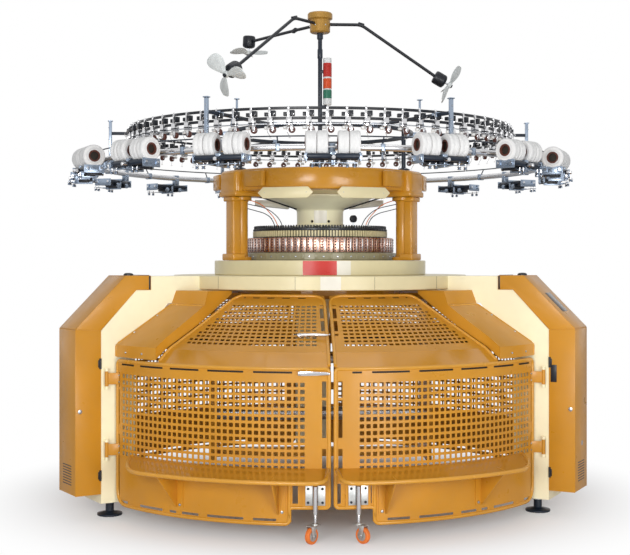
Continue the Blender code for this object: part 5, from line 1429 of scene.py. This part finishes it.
def build_creel():
    """Inner ring on three posts, six spokes with their uprights, and short posts on the rails."""
    piece = Piece()
    piece.add(sweep(rounded_box_line(0.606, 0.634, 2.408, 2.432, 0.003), steps=144))
    for turn in LEGS.values():
        piece.add(rod(polar(PILLAR_RADIUS, turn, 2.151), polar(PILLAR_RADIUS, turn, 2.426), 0.014, 24))
        piece.add(lathe([(0.038, 2.1503), (0.04, 2.152), (0.04, 2.16), (0.03, 2.163),
                         (0.018, 2.17)], 32), at(turn, PILLAR_RADIUS))
        for k in range(4):
            piece.add(bolt_head(0.006), at(turn, PILLAR_RADIUS) @ spin(90.0 * k + 45.0, "Z")
                      @ shift(0.03, 0, 2.161), 1)
    for k in range(6):
        turn = 30.0 + 60.0 * k
        piece.add(block(0.01, -1.42, -0.62, 2.41, 2.43, 0.002), at(turn))
        piece.add(block(0.011, -1.43, -1.41, 2.18, 2.5, 0.002), at(turn), 2)
        piece.add(block(0.017, -1.436, -1.404, 2.5, 2.507, 0.002), at(turn), 2)
        piece.add(block(0.009, -1.515, -1.42, 2.2093, 2.2173, 0.001), at(turn), 2)
        for low, high in ((1.26, 1.3), (0.6, 0.66)):
            piece.add(block(0.018, -high, -low, 2.404, 2.436, 0.002), at(turn), 2)
        for z in (2.22, 2.3, 2.38, 2.46):
            piece.add(bolt_head(0.005), facing(turn, 1.43, z), 1)
    for turn in (-25.0, 25.0, 95.0, 155.0, -155.0, -95.0):
        piece.add(block(0.006, -1.274, -1.266, 2.33, 2.5, 0.001), at(turn), 2)
        piece.add(block(0.013, -1.282, -1.258, 2.5, 2.506, 0.001), at(turn), 2)
    make("creel_frame", piece, [DARK, STEEL, BLUE_STEEL], "machine", ("creel_support",))


def feeder():
    """One positive feeder hung on the two rails, drawn about its rail point."""
    unit = Piece()
    unit.add(block(0.007, -0.016, -0.0062, 2.38, 2.436))
    unit.add(block(0.006, -0.016, 0.01, 2.432, 2.4475))
    unit.add(rod((0.0, -0.011, 2.436), (0.0, -0.011, 2.452), 0.0035, 10, 0.001))
    unit.add(box((0.009, -0.024, 2.391), (0.036, 0.006, 2.424), 0.002), mark=1)
    unit.add(box((-0.03, -0.016, 2.392), (-0.01, 0.006, 2.414), 0.002), mark=1)
    unit.add(box((-0.012, -0.024, 2.336), (0.022, 0.012, 2.384), 0.003))
    unit.add(box((-0.0125, -0.0245, 2.348), (0.0225, 0.0125, 2.356), 0.001), mark=1)
    unit.add(spool([(0.012, -0.01), (0.019, -0.008), (0.02, -0.004), (0.014, 0.0)], 22),
             shift(0.021, -0.014, 2.312) @ spin(90, "X"), 2)
    unit.add(box((0.012, -0.028, 2.308), (0.03, -0.0255, 2.336), 0.001))
    unit.add(spool([(0.004, -0.014), (0.006, -0.013)], 12), shift(0.021, -0.014, 2.306) @ spin(90, "X"))
    unit.add(lathe([(0.01, -0.002), (0.013, 0.0), (0.013, 0.012), (0.008, 0.015)], 16),
             shift(-0.018, -0.012, 2.318), 3)
    wire = [(-0.004, -0.02, 2.338), (-0.01, -0.034, 2.322), (-0.006, -0.036, 2.3),
            (0.004, -0.03, 2.282), (0.01, -0.026, 2.268)]
    unit.add(tube(rounded(wire, (0, 0.008, 0.008, 0.008, 0), steps=3), None, 0.0016, 6))
    wire = [(0.018, -0.02, 2.384), (0.03, -0.036, 2.392), (0.036, -0.034, 2.404)]
    unit.add(tube(rounded(wire, (0, 0.008, 0), steps=3), None, 0.0014, 6))
    unit.add(sweep([(0.0035, -0.0014), (0.0062, -0.0014), (0.0062, 0.0014), (0.0035, 0.0014)], steps=12),
             shift(0.01, -0.026, 2.264), 3)
    return unit


def build_feeders():
    rails = Piece()
    for low in (2.372, 2.4305):
        line = rounded_box_line(RAIL_RADIUS - 0.006, RAIL_RADIUS + 0.006, low, low + 0.016, 0.002)
        rails.add(sweep(line, steps=216))
    line = rounded_box_line(RAIL_RADIUS - 0.0025, RAIL_RADIUS + 0.0025, 2.345, 2.352, 0.001)
    rails.add(sweep(line, steps=216), mark=1)
    make("feeder_rails", rails, [BLACK, STEEL], "machine", ("feeder_ring",))
    unit, row = feeder(), Piece()
    for k in range(FEEDER_COUNT):
        row.join(unit, at(360.0 * k / FEEDER_COUNT - 0.6, RAIL_RADIUS))
    make("feeders", row, [CHROME, BLACK, WHEEL_BROWN, WHITE], "machine")


def elastane_unit():
    """One rolling take-off on the ring: two rollers between cheeks, with guides and stop motions."""
    unit = Piece()
    for y in (-0.0432, 0.0432):
        along = shift(0.0, y, ROLLER_HEIGHT) @ spin(90, "Y")
        unit.add(spool([(0.0152, -0.145), (0.016, -0.143)]), along, 1)
        unit.add(spool([(0.007, -0.16)], 12), along)
    for x in (-0.151, 0.146):
        unit.add(box((x, -0.064, 2.098), (x + 0.006, 0.064, 2.148)), mark=2)
        for y in (-0.043, 0.043):
            unit.add(box((x - 0.006, y - 0.013, 2.112), (x + 0.012, y + 0.013, 2.144), 0.003), mark=2)
    unit.add(block(0.01, -0.058, 0.06, 2.078, 2.15, 0.002), mark=2)
    unit.add(block(0.016, -0.055, 0.118, 2.134, 2.152, 0.003), mark=2)
    unit.add(block(0.02, 0.082, 0.118, 2.136, 2.212, 0.004), mark=2)
    unit.add(block(0.024, -0.03, 0.04, 2.086, 2.116, 0.003), mark=3)
    unit.add(rod((0.0, -0.06, 2.118), (0.0, -0.098, 2.118), 0.011, 20, 0.003))
    unit.add(rod((0.0, -0.056, 2.118), (0.0, -0.066, 2.118), 0.016, 20, 0.002), mark=3)
    unit.add(block(0.13, -0.084, -0.068, 2.086, 2.09, 0.001), mark=2)
    unit.add(block(0.01, -0.084, -0.05, 2.086, 2.094, 0.001), mark=2)
    for x in (-0.115, -0.075, 0.075, 0.115):
        unit.add(spool([(0.008, -0.008), (0.012, -0.006), (0.007, 0.0)], 16), shift(x, -0.078, 2.072), 2)
        unit.add(rod((x, -0.078, 2.062), (x, -0.078, 2.098), 0.0035, 8))
    for x in (-0.062, 0.062):
        unit.add(box((x - 0.014, -0.02, 2.09), (x + 0.014, 0.07, 2.112), 0.003), mark=3)
        unit.add(spool([(0.015, -0.005), (0.017, -0.004)], 22), shift(x, 0.074, 2.104) @ spin(90, "X"), 2)
    return unit


def circle(radius, height, size, sides):
    """Outline of a round bar in a ring's cross-section."""
    turns = [math.radians(360.0 * k / sides) for k in range(sides)]
    return [(radius + size * math.cos(turn), height + size * math.sin(turn)) for turn in turns]


def build_elastane():
    """Bright tube with a thin one above it, and the sixteen units."""
    ring = Piece()
    ring.add(sweep(circle(ELASTANE_RADIUS, ELASTANE_HEIGHT, 0.019, 18), steps=216))
    ring.add(sweep(circle(1.53, 2.25, 0.004, 8), steps=216), mark=1)
    for turn in UNIT_TURNS:
        between = turn + 11.0
        ring.add(rod(polar(ELASTANE_RADIUS, between, 2.2), polar(1.53, between, 2.25), 0.004, 10),
                 mark=1)
        ring.add(block(0.012, -0.024, 0.024, 2.168, 2.212, 0.004), at(between, ELASTANE_RADIUS), 2)
    make("elastane_tube", ring, [CHROME, DARK, BLUE_STEEL], "machine", ("elastane_ring",))
    unit, units = elastane_unit(), Piece()
    for turn in UNIT_TURNS:
        units.join(unit, at(turn, UNIT_RADIUS))
    make("elastane_units", units, [CHROME, DARK, BLUE_STEEL, BLACK], "machine")


def package(low, high):
    """One wound package with soft shoulders, along X from low to high."""
    middle = (low + high) / 2
    shoulder = [(0.0365, 0.0), (0.06, 0.001), (0.0665, 0.003), (0.0692, 0.007), (0.07, 0.014)]
    profile = [(radius, low + x) for radius, x in shoulder]
    profile += [(0.07, middle - 0.005), (0.0682, middle - 0.0015), (0.0682, middle + 0.0015),
                (0.07, middle + 0.005)]
    profile += [(radius, high - x) for radius, x in shoulder[::-1]]
    return moved(sweep(profile, steps=56), spin(90, "Y"))


def build_packages():
    """Four packages on each of the front units, as pairs at either side of its bracket."""
    loaded = [turn for turn in UNIT_TURNS if abs(turn) <= 68.0]
    for number, turn in enumerate(loaded, start=1):
        row = Piece()
        for sign in (-1.0, 1.0):
            for k in range(2):
                near = 0.027 + 0.063 * k
                low, high = sorted((sign * near, sign * (near + 0.062)))
                row.add(package(low, high))
                core = [(0.0265, low - 0.0015), (0.0363, low - 0.0015), (0.0363, high + 0.0015),
                        (0.0265, high + 0.0015)]
                row.add(sweep(core, steps=40), spin(90, "Y"), 1)
                # Dark plug inside the core: painted shade of its hole.
                row.add(lathe([(0.027, low + 0.01), (0.027, high - 0.01)], 30), spin(90, "Y"), 2)
        make("wound_packages_%d" % number, row, [YARN, CORE, SEAM_AND_SHADE], "machine",
             ("yarn_packages_%d" % number,), place=at(turn, UNIT_RADIUS, ROLLER_HEIGHT + 0.0748))


build_creel()
build_feeders()
build_elastane()
build_packages()


# Stage

PURE_WHITE = (1.0, 1.0, 1.0, 1.0)
FADE_START, FADE_END = 0.95, 2.45
AIM = Vector((0.0, 0.0, 1.3))
LAMPS = (("key", (-2.6, -8.6, 2.4), 255.0, 2.4), ("fill", (3.0, -8.2, 1.4), 205.0, 2.6),
         ("top", (0.0, -0.5, 7.0), 45.0, 4.0))


def build_floor():
    """White floor that keeps the shadow under the machine and fades to plain white round it."""
    size = 60.0
    mesh = bpy.data.meshes.new("floor")
    mesh.from_pydata([(-size, -size, 0), (size, -size, 0), (size, size, 0), (-size, size, 0)], [],
                     [(0, 1, 2, 3)])
    floor = bpy.data.objects.new("floor", mesh)
    bpy.context.scene.collection.objects.link(floor)
    material = bpy.data.materials.new("white_floor")
    material.use_nodes = True
    tree = material.node_tree
    shader = tree.nodes["Principled BSDF"]
    shader.inputs["Base Color"].default_value = (0.86, 0.86, 0.87, 1.0)
    shader.inputs["Roughness"].default_value = 0.65
    emission = add_node(tree, "Emission", Color=PURE_WHITE)
    mix = add_node(tree, "MixShader")
    place = add_node(tree, "TexCoord")
    length = add_node(tree, "VectorMath", "LENGTH")
    fade = add_node(tree, "MapRange", From_Min=FADE_START, From_Max=FADE_END, To_Min=0.0, To_Max=1.0)
    fade.interpolation_type = "SMOOTHSTEP"
    path = add_node(tree, "LightPath")
    seen = add_node(tree, "Math", "MULTIPLY")
    for output, socket in ((place.outputs["Object"], length.inputs[0]),
                           (length.outputs["Value"], fade.inputs["Value"]),
                           (fade.outputs["Result"], seen.inputs[0]),
                           (path.outputs["Is Camera Ray"], seen.inputs[1]),
                           (seen.outputs["Value"], mix.inputs["Fac"]),
                           (shader.outputs["BSDF"], mix.inputs[1]),
                           (emission.outputs["Emission"], mix.inputs[2]),
                           (mix.outputs["Shader"], tree.nodes["Material Output"].inputs["Surface"])):
        tree.links.new(output, socket)
    mesh.materials.append(material)


def build_world():
    """Soft light from all round, which the camera, metal and glass see as plain white."""
    world = bpy.data.worlds.new("studio")
    bpy.context.scene.world = world
    world.use_nodes = True
    tree = world.node_tree
    soft = tree.nodes["Background"]
    soft.inputs["Color"].default_value = (0.96, 0.98, 1.0, 1.0)
    soft.inputs["Strength"].default_value = 0.36
    white = add_node(tree, "Background", Color=PURE_WHITE, Strength=1.0)
    mix = add_node(tree, "MixShader")
    path = add_node(tree, "LightPath")
    seen = path.outputs["Is Camera Ray"]
    for kind in ("Is Glossy Ray", "Is Transmission Ray"):
        either = add_node(tree, "Math", "MAXIMUM")
        tree.links.new(seen, either.inputs[0])
        tree.links.new(path.outputs[kind], either.inputs[1])
        seen = either.outputs["Value"]
    tree.links.new(seen, mix.inputs["Fac"])
    tree.links.new(soft.outputs["Background"], mix.inputs[1])
    tree.links.new(white.outputs["Background"], mix.inputs[2])
    tree.links.new(mix.outputs["Shader"], tree.nodes["World Output"].inputs["Surface"])


def build_lamps():
    for name, spot, power, size in LAMPS:
        lamp = bpy.data.lights.new(name, "AREA")
        lamp.energy = power
        lamp.size = size
        item = bpy.data.objects.new(name, lamp)
        item.location = spot
        item.rotation_euler = (AIM - Vector(spot)).to_track_quat("-Z", "Y").to_euler()
        bpy.context.scene.collection.objects.link(item)


def build_camera():
    camera = bpy.data.cameras.new("camera")
    camera.lens = 68.7
    camera.sensor_width = 36.0
    camera.shift_x = -0.008
    camera.shift_y = -0.0246
    camera.clip_end = 200.0
    item = bpy.data.objects.new("camera", camera)
    item.location = (-0.3577, -8.192, 1.55)
    item.rotation_euler = (math.radians(90.0), 0.0, math.radians(-2.5))
    bpy.context.scene.collection.objects.link(item)
    bpy.context.scene.camera = item
    bpy.context.scene.view_settings.view_transform = "Standard"


build_floor()
build_world()
build_lamps()
build_camera()
